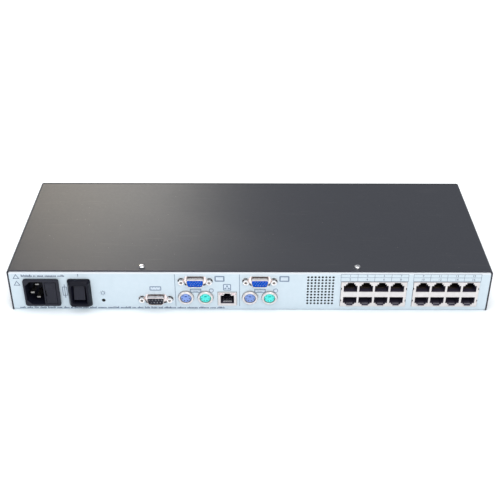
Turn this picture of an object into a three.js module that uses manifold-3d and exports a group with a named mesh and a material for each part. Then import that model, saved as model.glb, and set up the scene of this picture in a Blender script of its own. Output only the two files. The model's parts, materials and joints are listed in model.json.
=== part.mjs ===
// A one-unit rack keyboard-video-mouse switch: a bent base pan, a painted cover, a moulded front
// bezel, a mains inlet with a fuse drawer, a rocker switch, console sockets and sixteen port jacks.
// Millimetres, +Z up. The socket panel faces -Y and the plain front bezel faces +Y. Every part is
// laid out with y = 0 on the panel's outer face, and the whole group is moved at the end so that
// the origin is under the middle of the bounding box.
import * as THREE from 'three';
import { mergeVertices } from 'three/addons/utils/BufferGeometryUtils.js';
import Module from 'manifold-3d';

// ---- driving dimensions ----
const WIDTH = 431.8;
const HEIGHT = 43.4;
const DEPTH = 160;
const SHEET = 1.2;
const GAP = 0.3;
const COVER_BEND = 3;
const PAN_BEND = 2;
const COVER_LENGTH = 157;
const PAN_LENGTH = 156.4;
const FLANGE_LENGTH = 14;
const SIDE_FLANGE_HEIGHT = 14;
const COVER_SCREW = { x: 96, y: 5.9 };
const SIDE_SCREW = { rearY: 22, frontY: 138, z: 8 };
const SCREW = { headRadius: 2.75, headHeight: 1.7, shankRadius: 1.4, length: 6, hole: 1.8 };
const SINK_DEPTH = 1.35;
const SIDE_VENT = { count: 8, pitch: 7, width: 2.6, low: 18, high: 34, middleY: 80 };
const BEZEL_RECESS = { halfWidth: 196, z: [9, 34.7] };
const BEZEL_HOOKS = [-184, -60, 60, 184];
const HOOK = { halfWidth: 4, z: [20, 22], tip: 23.4, reach: 2.4, slotMargin: 0.6 };

const BOARD_TOP = 5.2;
const BOARD_THICKNESS = 1.6;
const MAIN_BOARD = { x: [-103, 212], y: [2, 120] };
const POWER_BOARD = { x: [-206, -108], y: [40, 138], top: 7.6 };
const PROCESSOR_HEATSINK = { x: [60, 94], y: [62, 96], chipRoom: 2.6, height: 12, fins: 9 };
const POWER_HEATSINK = { x: [-204, -176], y: [84, 128], height: 22, fins: 6 };
const FIN = { base: 2.4, thickness: 1.2 };
const CAPACITOR = { x: -192, y: 64 };
const TRANSFORMER = { x: -155, y: 97, coreHalf: [15, 15], bobbinHalf: [11, 19], core: [3, 25], bobbin: 22 };
const CHOKE = { x: -124, y: 60 };

const INLET = { x: [-202.6, -170.5], z: [5.8, 34.6], proud: 2.6, depth: 24 };
const INLET_CAVITY = { x: [-200.8, -184.7], z: [7.8, 32.4], chamfer: 4.6, floor: 14 };
const INLET_PINS = [
  { name: 'inlet_line_pin', x: -190.8, z: 27.1, tip: 1.2 },
  { name: 'inlet_neutral_pin', x: -190.8, z: 13.1, tip: 1.2 },
  { name: 'inlet_earth_pin', x: -195, z: 20.1, tip: -1.5 },
];
const PIN = { width: 4, thickness: 2, end: 31 };
const DRAWER = { x: [-183, -173.5], z: [8.9, 31.5], depth: 14, front: 2 };
const FUSE = { radius: 2.6, length: 20, y: 8 };

const SWITCH = { x: -152.75, z: 19.6, width: 16.7, height: 25.6, proud: 4.8, spread: 2.1 };
const SWITCH_BODY = { halfWidth: 8.1, halfHeight: 12.1, depth: 20 };
const SWITCH_WELL = { halfWidth: 5.4, halfHeight: 9, depth: 12, funnel: 3, flare: 1.7 };
const ROCKER = { halfWidth: 5, radius: 8.5, pivotY: 2.6, rest: 10, pin: 1.3, pinLength: 1.9 };

const LED = { x: -132.1, z: 10.8, radius: 1.45 };

const D_SHELL = { halfWidth: 8.15, height: 7.9, wall: 0.45, proud: 4.6, radius: 2.4 };
const D_SCREW_OFFSET = 12.5;
const D_FLANGE = { halfWidth: 15.4, halfHeight: 6.2, thickness: 1 };
const D_WINDOW = { halfWidth: 9.6, halfHeight: 5, radius: 3.3 };
const JACKSCREW = {
  hexRadius: 2.75, proud: 3.2, studRadius: 1.4, studEnd: 7.5, threadRadius: 1.25, threadEnd: 1,
};
const STUD_ROOM = { radius: 1.8, end: 8.5 };
const SERIAL = { x: -84.65, z: 12.5 };
const CONSOLE_A = -48.7;
const CONSOLE_B = 9.1;
const VGA_Z = 32.2;
const MINI_DIN = { offset: 8.8, z: 14.2, outer: 7.05, bore: 5.1, insert: 4.6, proud: 2.2 };
const CONSOLE_BODY = { halfWidth: 15.6, depth: 22, top: 40.2 };

const LAN_JACK = { x: -20.2, halfWidth: 8.4, z: [5.5, 20.2], depth: 20, sill: 8, shoulder: 16.7 };
const LAN_LAMP = { offset: 5.7, halfWidth: 1.8, z: [17.3, 19.2] };
const PORT_BLOCK_A = 111.4;
const PORT_BLOCK_B = 176.2;
const PORT_BLOCK = { halfWidth: 29.45, z: [5.5, 31.7], lip: 4.9, depth: 24 };
const PORT_PITCH = 13.97;
const JACK = { halfWidth: 6.1, body: 6.7, proud: 0.8, socketDepth: 13.5 };
const JACK_STEPS = [4.3, 2.9];
const UPPER_ROW = { sill: 21.2, notch: 3.4 };
const LOWER_ROW = { sill: 15.5, notch: 2.9 };
const SHIELD = 0.5;

const VENT = { x: 63.45, z: 22.2, columns: 8, rows: 10, pitch: 3.2, radius: 1, sides: 6 };

const BOARD_BOTTOM = BOARD_TOP - BOARD_THICKNESS;
const PAN_TOP = HEIGHT - SHEET - GAP;
const PAN_HALF = WIDTH / 2 - SHEET - GAP;
const radians = THREE.MathUtils.degToRad;

// ---- materials ----
const finish = (color, roughness, metalness) =>
  new THREE.MeshStandardMaterial({ color, roughness, metalness });
const coverPaint = finish(0x57585c, 0.42, 0.2);
const panelPaint = finish(0xd8e6f2, 0.5, 0.1);
const bezelPlastic = finish(0x2e2f33, 0.6, 0);
const blackPlastic = finish(0x26262b, 0.5, 0);
const nickel = finish(0xd9d6d2, 0.28, 1);
const bluePlastic = finish(0x2b63c7, 0.5, 0);
const violetPlastic = finish(0x7f9ede, 0.5, 0);
const aquaPlastic = finish(0x58dccb, 0.5, 0);
const boardGreen = finish(0x1f5a3a, 0.5, 0);
const aluminium = finish(0xb9bcc0, 0.4, 1);
const screwSteel = finish(0xe2e2e4, 0.3, 1);
const ledLens = finish(0x1b2a1e, 0.2, 0);
const ferrite = finish(0x35322f, 0.7, 0);
const sleeveBlue = finish(0x24345e, 0.5, 0);
const fuseGlass = finish(0xcfd6d6, 0.15, 0);
const wireBrown = finish(0x5b3620, 0.55, 0);
const wireBlue = finish(0x2a5ea8, 0.55, 0);
const wireGreen = finish(0x4c8f3a, 0.55, 0);
const wireRed = finish(0xa32a26, 0.55, 0);

// ---- solids ----
const wasm = await Module();
wasm.setup();

// Turns a closed three.js geometry into a solid; triangles that collapse on an axis are dropped.
function toSolid(geometry) {
  geometry.deleteAttribute('normal');
  geometry.deleteAttribute('uv');
  const merged = mergeVertices(geometry, 1e-4);
  const triangles = [];
  for (let i = 0; i < merged.index.count; i += 3) {
    const [a, b, c] = [0, 1, 2].map((k) => merged.index.getX(i + k));
    if (a !== b && b !== c && a !== c) triangles.push(a, b, c);
  }
  return new wasm.Manifold(new wasm.Mesh({
    numProp: 3,
    vertProperties: Float32Array.from(merged.attributes.position.array),
    triVerts: Uint32Array.from(triangles),
  }));
}

function toGeometry(solid) {
  const mesh = solid.getMesh();
  const geometry = new THREE.BufferGeometry();
  geometry.setAttribute('position', new THREE.BufferAttribute(mesh.vertProperties, 3));
  geometry.setIndex(new THREE.BufferAttribute(mesh.triVerts, 1));
  geometry.computeVertexNormals();
  return geometry;
}

const joined = (first, ...others) => others.reduce((whole, piece) => whole.add(piece), first);
const cutBy = (first, ...cutters) => cutters.reduce((rest, cutter) => rest.subtract(cutter), first);

function block([x0, x1], [y0, y1], [z0, z1]) {
  const geometry = new THREE.BoxGeometry(x1 - x0, y1 - y0, z1 - z0);
  geometry.translate((x0 + x1) / 2, (y0 + y1) / 2, (z0 + z1) / 2);
  return toSolid(geometry);
}

const around = (middle, half) => [middle - half, middle + half];

// An outline drawn in X and Z, made solid between two depths.
function alongY(shape, [y0, y1], curveSegments = 4) {
  const geometry = new THREE.ExtrudeGeometry(shape, { depth: y1 - y0, bevelEnabled: false, curveSegments });
  geometry.rotateX(Math.PI / 2);
  geometry.translate(0, y1, 0);
  return toSolid(geometry);
}

// An outline drawn in Y and Z, made solid between two widths.
function alongX(shape, [x0, x1], curveSegments = 4) {
  const geometry = new THREE.ExtrudeGeometry(shape, { depth: x1 - x0, bevelEnabled: false, curveSegments });
  const turn = new THREE.Matrix4().makeBasis(
    new THREE.Vector3(0, 1, 0), new THREE.Vector3(0, 0, 1), new THREE.Vector3(1, 0, 0));
  geometry.applyMatrix4(turn);
  geometry.translate(x0, 0, 0);
  return toSolid(geometry);
}

// A solid whose section is the outline at one depth and grows by a spread towards another depth.
function tapered(shape, narrowY, wideY, spread) {
  const rise = Math.abs(wideY - narrowY);
  const core = 1;
  const geometry = new THREE.ExtrudeGeometry(shape, {
    depth: core, bevelThickness: rise, bevelSize: spread, bevelSegments: 1, curveSegments: 3,
  });
  geometry.rotateX(Math.PI / 2);
  geometry.translate(0, narrowY < wideY ? narrowY + rise + core : narrowY - rise, 0);
  const room = 500;
  const kept = [Math.min(narrowY, wideY), Math.max(narrowY, wideY)];
  return toSolid(geometry).intersect(block([-room, room], kept, [-room, room]));
}

const AXIS_TURNS = {
  x: (geometry) => geometry.rotateZ(-Math.PI / 2),
  y: (geometry) => geometry,
  z: (geometry) => geometry.rotateX(Math.PI / 2),
};

// A round or many-sided bar along one axis, from one end to the other.
function rod(axis, centre, radius, [from, to], sides = 16, turn = 0) {
  const geometry = new THREE.CylinderGeometry(radius, radius, to - from, sides);
  geometry.rotateY(turn);
  AXIS_TURNS[axis](geometry);
  const middle = (from + to) / 2;
  const place = { x: [middle, ...centre], y: [centre[0], middle, centre[1]], z: [...centre, middle] }[axis];
  geometry.translate(...place);
  return toSolid(geometry);
}

// A turned piece: the profile gives radius and distance along the axis, from tip to tail.
function turned(axis, profile, place, sides = 12) {
  const points = profile.map(([r, along]) => new THREE.Vector2(r, along));
  const geometry = new THREE.LatheGeometry(points, sides);
  if (axis === 'z') geometry.rotateX(Math.PI / 2);
  if (axis === 'x') geometry.rotateZ(-Math.PI / 2);
  if (axis === '-x') geometry.rotateZ(Math.PI / 2);
  geometry.translate(...place);
  return toSolid(geometry);
}

// A wire or lead along a smooth route.
function lead(points, radius, steps) {
  const route = new THREE.CatmullRomCurve3(points.map((p) => new THREE.Vector3(...p)));
  const section = new THREE.Shape().absarc(0, 0, radius, 0, Math.PI * 2);
  return toSolid(new THREE.ExtrudeGeometry(section, { steps, extrudePath: route, curveSegments: 4 }));
}

// ---- outlines ----
function polygon(points) {
  return new THREE.Shape(points.map(([x, y]) => new THREE.Vector2(x, y)));
}

function roundedPolygon(points, radius) {
  const corner = (i) => new THREE.Vector2(...points[(i + points.length) % points.length]);
  const shape = new THREE.Shape();
  points.forEach((_, i) => {
    const here = corner(i);
    const before = corner(i - 1).sub(here).setLength(radius).add(here);
    const after = corner(i + 1).sub(here).setLength(radius).add(here);
    if (i === 0) shape.moveTo(before.x, before.y);
    else shape.lineTo(before.x, before.y);
    shape.quadraticCurveTo(here.x, here.y, after.x, after.y);
  });
  shape.closePath();
  return shape;
}

const roundedBox = ([a0, a1], [b0, b1], radius) =>
  roundedPolygon([[a0, b0], [a1, b0], [a1, b1], [a0, b1]], radius);

// The D of a subminiature connector: wide at the top, sides leaning in by ten degrees.
function dOutline(x, z, inset) {
  const lean = Math.tan(radians(10));
  const half = D_SHELL.height / 2 - inset;
  const top = D_SHELL.halfWidth - inset;
  const bottom = top - 2 * half * lean;
  const corners = [[x - bottom, z - half], [x + bottom, z - half], [x + top, z + half], [x - top, z + half]];
  return roundedPolygon(corners, Math.max(D_SHELL.radius - inset, 1));
}

// A modular jack's mouth: the plug's body, then two steps for its latch, above (+1) or below (-1).
function jackOutline(x, { sill, notch }, direction) {
  let level = sill + direction * JACK.body;
  const right = [[JACK.halfWidth, sill], [JACK.halfWidth, level]];
  for (const stepHalf of JACK_STEPS) {
    right.push([stepHalf, level]);
    level += direction * notch / JACK_STEPS.length;
    right.push([stepHalf, level]);
  }
  const left = right.map(([dx, z]) => [-dx, z]).reverse();
  return polygon([...right, ...left].map(([dx, z]) => [x + dx, z]));
}

// ---- the part list ----
const kvmSwitch = new THREE.Group();
kvmSwitch.name = 'kvm_switch';

function addPart(name, solid, material, parent = kvmSwitch) {
  const mesh = new THREE.Mesh(toGeometry(solid), material);
  mesh.name = name;
  parent.add(mesh);
}

// ---- chassis ----
const THROUGH_PANEL = [-1, SHEET + 1];

function connectorWindow(x, z) {
  const screwHoles = [-1, 1].map((side) =>
    rod('y', [x + side * D_SCREW_OFFSET, z], D_WINDOW.radius, THROUGH_PANEL, 16));
  const middle = alongY(
    roundedBox(around(x, D_WINDOW.halfWidth), around(z, D_WINDOW.halfHeight), 2), THROUGH_PANEL);
  const link = block(around(x, D_SCREW_OFFSET), THROUGH_PANEL, around(z - 0.6, 1.6));
  return joined(middle, link, ...screwHoles);
}

function ventHoles() {
  const holes = [];
  for (let column = 0; column < VENT.columns; column++) {
    for (let row = 0; row < VENT.rows; row++) {
      const x = VENT.x + (column - (VENT.columns - 1) / 2) * VENT.pitch;
      const z = VENT.z + (row - (VENT.rows - 1) / 2) * VENT.pitch;
      holes.push(rod('y', [x, z], VENT.radius, THROUGH_PANEL, VENT.sides));
    }
  }
  return wasm.Manifold.union(holes);
}

function panelCutouts() {
  const margin = 0.3;
  const frame = ([a, b], grow) => [a - grow, b + grow];
  const inletBody = block(frame(INLET.x, -1.2), THROUGH_PANEL, frame(INLET.z, -1.2));
  const switchHole = block(
    around(SWITCH.x, SWITCH_BODY.halfWidth + margin), THROUGH_PANEL,
    around(SWITCH.z, SWITCH_BODY.halfHeight + margin));
  const ledHole = rod('y', [LED.x, LED.z], LED.radius + margin, THROUGH_PANEL, 12);
  const lanHole = block(
    around(LAN_JACK.x, LAN_JACK.halfWidth + margin), THROUGH_PANEL, frame(LAN_JACK.z, margin));
  const portHoles = [PORT_BLOCK_A, PORT_BLOCK_B].map((x) => block(
    around(x, PORT_BLOCK.halfWidth + margin), THROUGH_PANEL,
    [PORT_BLOCK.lip - margin, PORT_BLOCK.z[1] + margin]));
  const windows = [[SERIAL.x, SERIAL.z], [CONSOLE_A, VGA_Z], [CONSOLE_B, VGA_Z]]
    .map(([x, z]) => connectorWindow(x, z));
  const dinHoles = [];
  for (const middle of [CONSOLE_A, CONSOLE_B]) {
    for (const side of [-1, 1]) {
      const centre = [middle + side * MINI_DIN.offset, MINI_DIN.z];
      dinHoles.push(rod('y', centre, MINI_DIN.outer + margin, THROUGH_PANEL, 20));
    }
  }
  return joined(
    inletBody, switchHole, ledHole, lanHole, ...portHoles, ...windows, ...dinHoles, ventHoles());
}

function basePan() {
  const across = [-PAN_HALF, PAN_HALF];
  const outer = alongX(roundedBox([0, PAN_LENGTH], [0, PAN_TOP], PAN_BEND), across);
  const inner = alongX(
    roundedBox([SHEET, PAN_LENGTH - SHEET], [SHEET, PAN_TOP - SHEET], PAN_BEND - SHEET), across);
  const mouth = block(across, [FLANGE_LENGTH, PAN_LENGTH - FLANGE_LENGTH], [PAN_TOP - 3, PAN_TOP + 1]);
  const outline = roundedPolygon([
    [-PAN_HALF, 0], [PAN_HALF, 0], [PAN_HALF, PAN_TOP], [-PAN_HALF, PAN_TOP]], COVER_BEND - 0.5);
  const flanges = [-1, 1].map((side) => block(
    side < 0 ? [-PAN_HALF, -PAN_HALF + SHEET] : [PAN_HALF - SHEET, PAN_HALF],
    [3, PAN_LENGTH - 3], [0.2, SIDE_FLANGE_HEIGHT]));
  const strip = joined(cutBy(outer, inner, mouth), ...flanges)
    .intersect(alongY(outline, [-1, PAN_LENGTH + 1]));
  const topHoles = [-1, 1].map((side) => rod(
    'z', [side * COVER_SCREW.x, COVER_SCREW.y], SCREW.hole, [PAN_TOP - 3, PAN_TOP + 1], 12));
  const sideHoles = [SIDE_SCREW.rearY, SIDE_SCREW.frontY].map((y) => rod(
    'x', [y, SIDE_SCREW.z], SCREW.hole, [-WIDTH, WIDTH], 12));
  const hookSlots = BEZEL_HOOKS.map((x) => block(
    around(x, HOOK.halfWidth + HOOK.slotMargin), [PAN_LENGTH - SHEET - 1, PAN_LENGTH + 1],
    [HOOK.z[0] - 0.7, HOOK.z[1] + 0.7]));
  return cutBy(strip, panelCutouts(), ...topHoles, ...sideHoles, ...hookSlots);
}

// The countersunk hole for a side screw, with the cover's outer face at zero.
const sinkProfile = [
  [0, -3], [SCREW.shankRadius + GAP, -3], [SCREW.shankRadius + GAP, -SINK_DEPTH],
  [SCREW.headRadius + GAP, 0], [SCREW.headRadius + GAP, 1], [0, 1],
];

function topCover() {
  const length = [0, COVER_LENGTH];
  const below = -20;
  const outer = alongY(roundedBox(around(0, WIDTH / 2), [below, HEIGHT], COVER_BEND), length, 5);
  const inner = alongY(
    roundedBox(around(0, WIDTH / 2 - SHEET), [below, HEIGHT - SHEET], COVER_BEND - SHEET),
    [-1, COVER_LENGTH + 1], 5);
  const foot = block([-WIDTH, WIDTH], [-1, COVER_LENGTH + 1], [below - 1, GAP]);
  const topHoles = [-1, 1].map((side) => rod(
    'z', [side * COVER_SCREW.x, COVER_SCREW.y], SCREW.hole, [HEIGHT - 3, HEIGHT + 1], 12));
  const sinks = [-1, 1].flatMap((side) => [SIDE_SCREW.rearY, SIDE_SCREW.frontY].map((y) => turned(
    side > 0 ? 'x' : '-x', sinkProfile, [side * WIDTH / 2, y, SIDE_SCREW.z])));
  const slots = [];
  for (let i = 0; i < SIDE_VENT.count; i++) {
    const y = SIDE_VENT.middleY + (i - (SIDE_VENT.count - 1) / 2) * SIDE_VENT.pitch;
    const outline = roundedBox(
      around(y, SIDE_VENT.width / 2), [SIDE_VENT.low, SIDE_VENT.high], SIDE_VENT.width / 2 - 0.05);
    slots.push(alongX(outline, [-WIDTH, WIDTH], 2));
  }
  return cutBy(outer, inner, foot, ...topHoles, ...sinks, ...slots);
}

function frontBezel() {
  const back = COVER_LENGTH + GAP;
  const soft = 0.8;
  const outline = roundedBox(around(0, WIDTH / 2 - soft), [GAP + soft, HEIGHT - soft], COVER_BEND - soft);
  const nose = tapered(outline, DEPTH, DEPTH - soft, soft);
  const rim = roundedBox(around(0, WIDTH / 2), [GAP, HEIGHT], COVER_BEND);
  const plate = alongY(rim, [back, DEPTH - soft], 3);
  const recess = alongY(
    roundedBox(around(0, BEZEL_RECESS.halfWidth), BEZEL_RECESS.z, 3), [DEPTH - soft, DEPTH + 1]);
  const hookStart = PAN_LENGTH - SHEET - HOOK.reach;
  const hooks = BEZEL_HOOKS.flatMap((x) => [
    block(around(x, HOOK.halfWidth), [hookStart, back + 0.5], HOOK.z),
    block(around(x, HOOK.halfWidth), [hookStart, PAN_LENGTH - SHEET - GAP], [HOOK.z[0], HOOK.tip]),
  ]);
  return cutBy(joined(plate, nose, ...hooks), recess);
}

// A pan-head screw with its head's underside at zero and its shank running back along the axis.
const screwProfile = [
  [0, -SCREW.length], [SCREW.shankRadius, -SCREW.length], [SCREW.shankRadius, 0], [SCREW.headRadius, 0],
  [SCREW.headRadius, SCREW.headHeight * 0.45], [SCREW.headRadius * 0.82, SCREW.headHeight * 0.85],
  [SCREW.headRadius * 0.4, SCREW.headHeight], [0, SCREW.headHeight],
];

// A countersunk screw with the flat of its head at zero.
const sunkScrewProfile = [
  [0, -SCREW.length], [SCREW.shankRadius, -SCREW.length], [SCREW.shankRadius, -SINK_DEPTH],
  [SCREW.headRadius, 0], [0, 0],
];

function addChassis() {
  addPart('base_pan', basePan(), panelPaint);
  addPart('top_cover', topCover(), coverPaint);
  addPart('front_bezel', frontBezel(), bezelPlastic);
  const seat = 0.1;
  for (const [name, side] of [['left', -1], ['right', 1]]) {
    const top = turned('z', screwProfile, [side * COVER_SCREW.x, COVER_SCREW.y, HEIGHT + seat]);
    addPart(`cover_screw_${name}`, top, screwSteel);
    for (const [place, y] of [['rear', SIDE_SCREW.rearY], ['front', SIDE_SCREW.frontY]]) {
      const start = [side * (WIDTH / 2 - seat), y, SIDE_SCREW.z];
      const sunk = turned(side > 0 ? 'x' : '-x', sunkScrewProfile, start);
      addPart(`side_screw_${name}_${place}`, sunk, screwSteel);
    }
  }
}

// ---- mains inlet and fuse ----
function inletHousing() {
  const flange = alongY(roundedBox(INLET.x, INLET.z, 2.4), [-INLET.proud, -GAP], 4);
  const wall = 1.5;
  const body = block(
    [INLET.x[0] + wall, INLET.x[1] - wall], [-GAP - 0.2, INLET.depth],
    [INLET.z[0] + wall, INLET.z[1] - wall]);
  const [x0, x1] = INLET_CAVITY.x;
  const [z0, z1] = INLET_CAVITY.z;
  const cut = INLET_CAVITY.chamfer;
  const mouth = polygon([[x0 + cut, z0], [x1, z0], [x1, z1], [x0 + cut, z1], [x0, z1 - cut], [x0, z0 + cut]]);
  const cavity = alongY(mouth, [-INLET.proud - 1, INLET_CAVITY.floor]);
  const pocket = block(
    [DRAWER.x[0] - GAP, DRAWER.x[1] + GAP], [-INLET.proud - 1, DRAWER.depth + 2],
    [DRAWER.z[0] - GAP, DRAWER.z[1] + GAP]);
  const pinSlots = INLET_PINS.map((pin) => block(
    around(pin.x, PIN.width / 2 + GAP), [0, INLET.depth + 1], around(pin.z, PIN.thickness / 2 + GAP)));
  return cutBy(joined(flange, body), cavity, pocket, ...pinSlots);
}

function fuseDrawer() {
  const step = 0.6;
  const front = block(DRAWER.x, [-INLET.proud, -INLET.proud + DRAWER.front], DRAWER.z);
  const carrier = block(
    [DRAWER.x[0] + step, DRAWER.x[1] - step], [-INLET.proud + DRAWER.front - 0.2, DRAWER.depth],
    [DRAWER.z[0] + step, DRAWER.z[1] - step]);
  const middle = (DRAWER.x[0] + DRAWER.x[1]) / 2;
  const centreZ = (DRAWER.z[0] + DRAWER.z[1]) / 2;
  const bed = block(
    around(middle, FUSE.radius + 0.6), [FUSE.y - FUSE.radius - 0.6, DRAWER.depth + 1],
    around(centreZ, FUSE.length / 2 + GAP));
  const finger = block(
    [DRAWER.x[0] - 1, DRAWER.x[0] + 1.1], [-INLET.proud - 1, -INLET.proud + 1.2], around(centreZ, 3));
  return cutBy(joined(front, carrier), bed, finger);
}

function addInlet() {
  addPart('inlet_housing', inletHousing(), blackPlastic);
  for (const pin of INLET_PINS) {
    const blade = block(around(pin.x, PIN.width / 2), [pin.tip, PIN.end], around(pin.z, PIN.thickness / 2));
    addPart(pin.name, blade, nickel);
  }
  addPart('fuse_drawer', fuseDrawer(), blackPlastic);
  const middle = (DRAWER.x[0] + DRAWER.x[1]) / 2;
  const centreZ = (DRAWER.z[0] + DRAWER.z[1]) / 2;
  const half = FUSE.length / 2;
  const cap = 5.5;
  const waist = FUSE.radius - 0.2;
  const profile = [
    [0, -half], [FUSE.radius, -half], [FUSE.radius, -half + cap], [waist, -half + cap],
    [waist, half - cap], [FUSE.radius, half - cap], [FUSE.radius, half], [0, half],
  ];
  addPart('fuse', turned('z', profile, [middle, FUSE.y, centreZ], 12), fuseGlass);
}

// ---- rocker switch ----
function switchHousing() {
  const face = roundedBox(around(SWITCH.x, SWITCH.width / 2), around(SWITCH.z, SWITCH.height / 2), 1.6);
  const edge = -0.9;
  const shroud = tapered(face, -SWITCH.proud, edge, SWITCH.spread);
  const base = roundedBox(
    around(SWITCH.x, SWITCH.width / 2 + SWITCH.spread),
    around(SWITCH.z, SWITCH.height / 2 + SWITCH.spread), 2.4);
  const rim = alongY(base, [edge, -GAP], 3);
  const body = block(
    around(SWITCH.x, SWITCH_BODY.halfWidth), [-GAP - 0.2, SWITCH_BODY.depth],
    around(SWITCH.z, SWITCH_BODY.halfHeight));
  const well = block(
    around(SWITCH.x, SWITCH_WELL.halfWidth), [-SWITCH.proud - 1, SWITCH_WELL.depth],
    around(SWITCH.z, SWITCH_WELL.halfHeight));
  const lip = roundedBox(
    around(SWITCH.x, SWITCH_WELL.halfWidth), around(SWITCH.z, SWITCH_WELL.halfHeight), 0.6);
  const funnel = tapered(
    lip, -SWITCH.proud + SWITCH_WELL.funnel, -SWITCH.proud - 0.4, SWITCH_WELL.flare);
  const bearing = rod(
    'x', [ROCKER.pivotY, SWITCH.z], ROCKER.pin + GAP, around(SWITCH.x, SWITCH_BODY.halfWidth + 1), 16);
  return cutBy(joined(shroud, rim, body), well, funnel, bearing);
}

// The rocker's side view about its pivot, half-way through its travel: round ends, a shallow vee.
function rockerOutline() {
  const { radius } = ROCKER;
  const corner = radians(36);
  const heel = radians(12);
  const dip = -radius * Math.sin(corner) + radius * Math.cos(corner) * Math.tan(radians(ROCKER.rest));
  const shape = new THREE.Shape();
  shape.moveTo(dip, 0);
  shape.absarc(0, 0, radius, Math.PI / 2 + corner, Math.PI / 2 - heel, true);
  shape.lineTo(6.4, 2.2);
  shape.lineTo(6.4, -2.2);
  shape.absarc(0, 0, radius, -Math.PI / 2 + heel, -Math.PI / 2 - corner, true);
  shape.closePath();
  return shape;
}

function powerRocker() {
  const across = around(0, ROCKER.halfWidth);
  const pins = rod('x', [0, 0], ROCKER.pin, around(0, ROCKER.halfWidth + ROCKER.pinLength), 16);
  return joined(alongX(rockerOutline(), across, 6), pins)
    .rotate([-ROCKER.rest, 0, 0])
    .translate([SWITCH.x, ROCKER.pivotY, SWITCH.z]);
}

function addSwitch() {
  addPart('switch_housing', switchHousing(), blackPlastic);
  addPart('power_rocker', powerRocker(), blackPlastic);
  const { radius } = LED;
  const profile = [
    [0, -1.4], [radius * 0.55, -1.15], [radius * 0.9, -0.5], [radius, 0.2], [radius, 1.2],
    [radius + 0.5, 1.2], [radius + 0.5, 2.4], [0, 2.4],
  ];
  addPart('power_led', turned('y', profile, [LED.x, 1.9, LED.z], 16), ledLens);
}

// ---- D connectors ----
function dShell(x, z) {
  const flangeY = [SHEET + GAP, SHEET + GAP + D_FLANGE.thickness];
  const tube = alongY(dOutline(x, z, 0), [-D_SHELL.proud, flangeY[1]]);
  const plate = alongY(
    roundedBox(around(x, D_FLANGE.halfWidth), around(z, D_FLANGE.halfHeight), 1.5), flangeY, 3);
  const bore = alongY(dOutline(x, z, D_SHELL.wall), [-D_SHELL.proud - 1, flangeY[1] + 1]);
  const holes = [-1, 1].map((side) => rod(
    'y', [x + side * D_SCREW_OFFSET, z], STUD_ROOM.radius, [flangeY[0] - 1, flangeY[1] + 1], 12));
  return cutBy(joined(tube, plate), bore, ...holes);
}

const insulatorReach = [-D_SHELL.proud + 0.3, SHEET + GAP + D_FLANGE.thickness];
const insulatorTongue = (x, z) => alongY(dOutline(x, z, D_SHELL.wall + GAP), insulatorReach);

// A hexagonal standoff with a threaded hole in its face and a stud through the shell's flange.
function jackscrew(x, z) {
  const { hexRadius, proud, studRadius, studEnd, threadRadius, threadEnd } = JACKSCREW;
  const hex = rod('y', [x, z], hexRadius, [-proud, SHEET], 6, Math.PI / 6);
  const stud = rod('y', [x, z], studRadius, [SHEET - 0.2, studEnd], 12);
  const thread = rod('y', [x, z], threadRadius, [-proud - 0.8, threadEnd], 12);
  return cutBy(joined(hex, stud), thread);
}

function addJackscrews(prefix, x, z) {
  addPart(`${prefix}_jackscrew_left`, jackscrew(x - D_SCREW_OFFSET, z), nickel);
  addPart(`${prefix}_jackscrew_right`, jackscrew(x + D_SCREW_OFFSET, z), nickel);
}

function studHoles(x, z) {
  return [-1, 1].map((side) => rod(
    'y', [x + side * D_SCREW_OFFSET, z], STUD_ROOM.radius, [1, STUD_ROOM.end], 12));
}

function addSerial() {
  const { x, z } = SERIAL;
  addPart('serial_shell', dShell(x, z), nickel);
  const front = insulatorReach[1] + GAP;
  const body = block(around(x, 15.2), [front, 13], [BOARD_TOP + GAP, z + 6.1]);
  const neck = alongY(dOutline(x, z, D_SHELL.wall + GAP), [front - GAP - 0.2, front + 0.2]);
  const insulator = cutBy(joined(insulatorTongue(x, z), neck, body), ...studHoles(x, z));
  addPart('serial_insulator', insulator, blackPlastic);
  addJackscrews('serial', x, z);
}

// ---- console sockets: a video connector over two round sockets, on one moulded body ----
function consoleBody(x) {
  const front = SHEET + GAP + 0.1;
  const behindPlate = insulatorReach[1] + GAP;
  const lower = block(
    around(x, CONSOLE_BODY.halfWidth), [front, CONSOLE_BODY.depth],
    [BOARD_TOP + GAP, VGA_Z - D_FLANGE.halfHeight - GAP]);
  const upper = block(
    around(x, CONSOLE_BODY.halfWidth), [behindPlate, CONSOLE_BODY.depth], [BOARD_TOP + 2, CONSOLE_BODY.top]);
  const bores = [-1, 1].map((side) => rod(
    'y', [x + side * MINI_DIN.offset, MINI_DIN.z], MINI_DIN.bore, [front - 1, 12.3], 18));
  return cutBy(joined(lower, upper), ...bores, ...studHoles(x, VGA_Z));
}

function dinCollar(x) {
  const inside = MINI_DIN.bore;
  const outside = MINI_DIN.outer;
  const ease = 0.7;
  const profile = [
    [inside + 0.3, -MINI_DIN.proud], [outside - ease, -MINI_DIN.proud], [outside, -MINI_DIN.proud + ease],
    [outside, SHEET], [inside, SHEET], [inside, -MINI_DIN.proud + 0.4], [inside + 0.3, -MINI_DIN.proud],
  ];
  return turned('y', profile, [x, 0, MINI_DIN.z], 20);
}

function dinInsert(x) {
  const body = rod('y', [x, MINI_DIN.z], MINI_DIN.insert, [-MINI_DIN.proud + 1.2, 12], 18);
  const key = block(around(x, 1.1), [-MINI_DIN.proud, 0.4], around(MINI_DIN.z + 1.4, 0.6));
  return cutBy(body, key);
}

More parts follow.
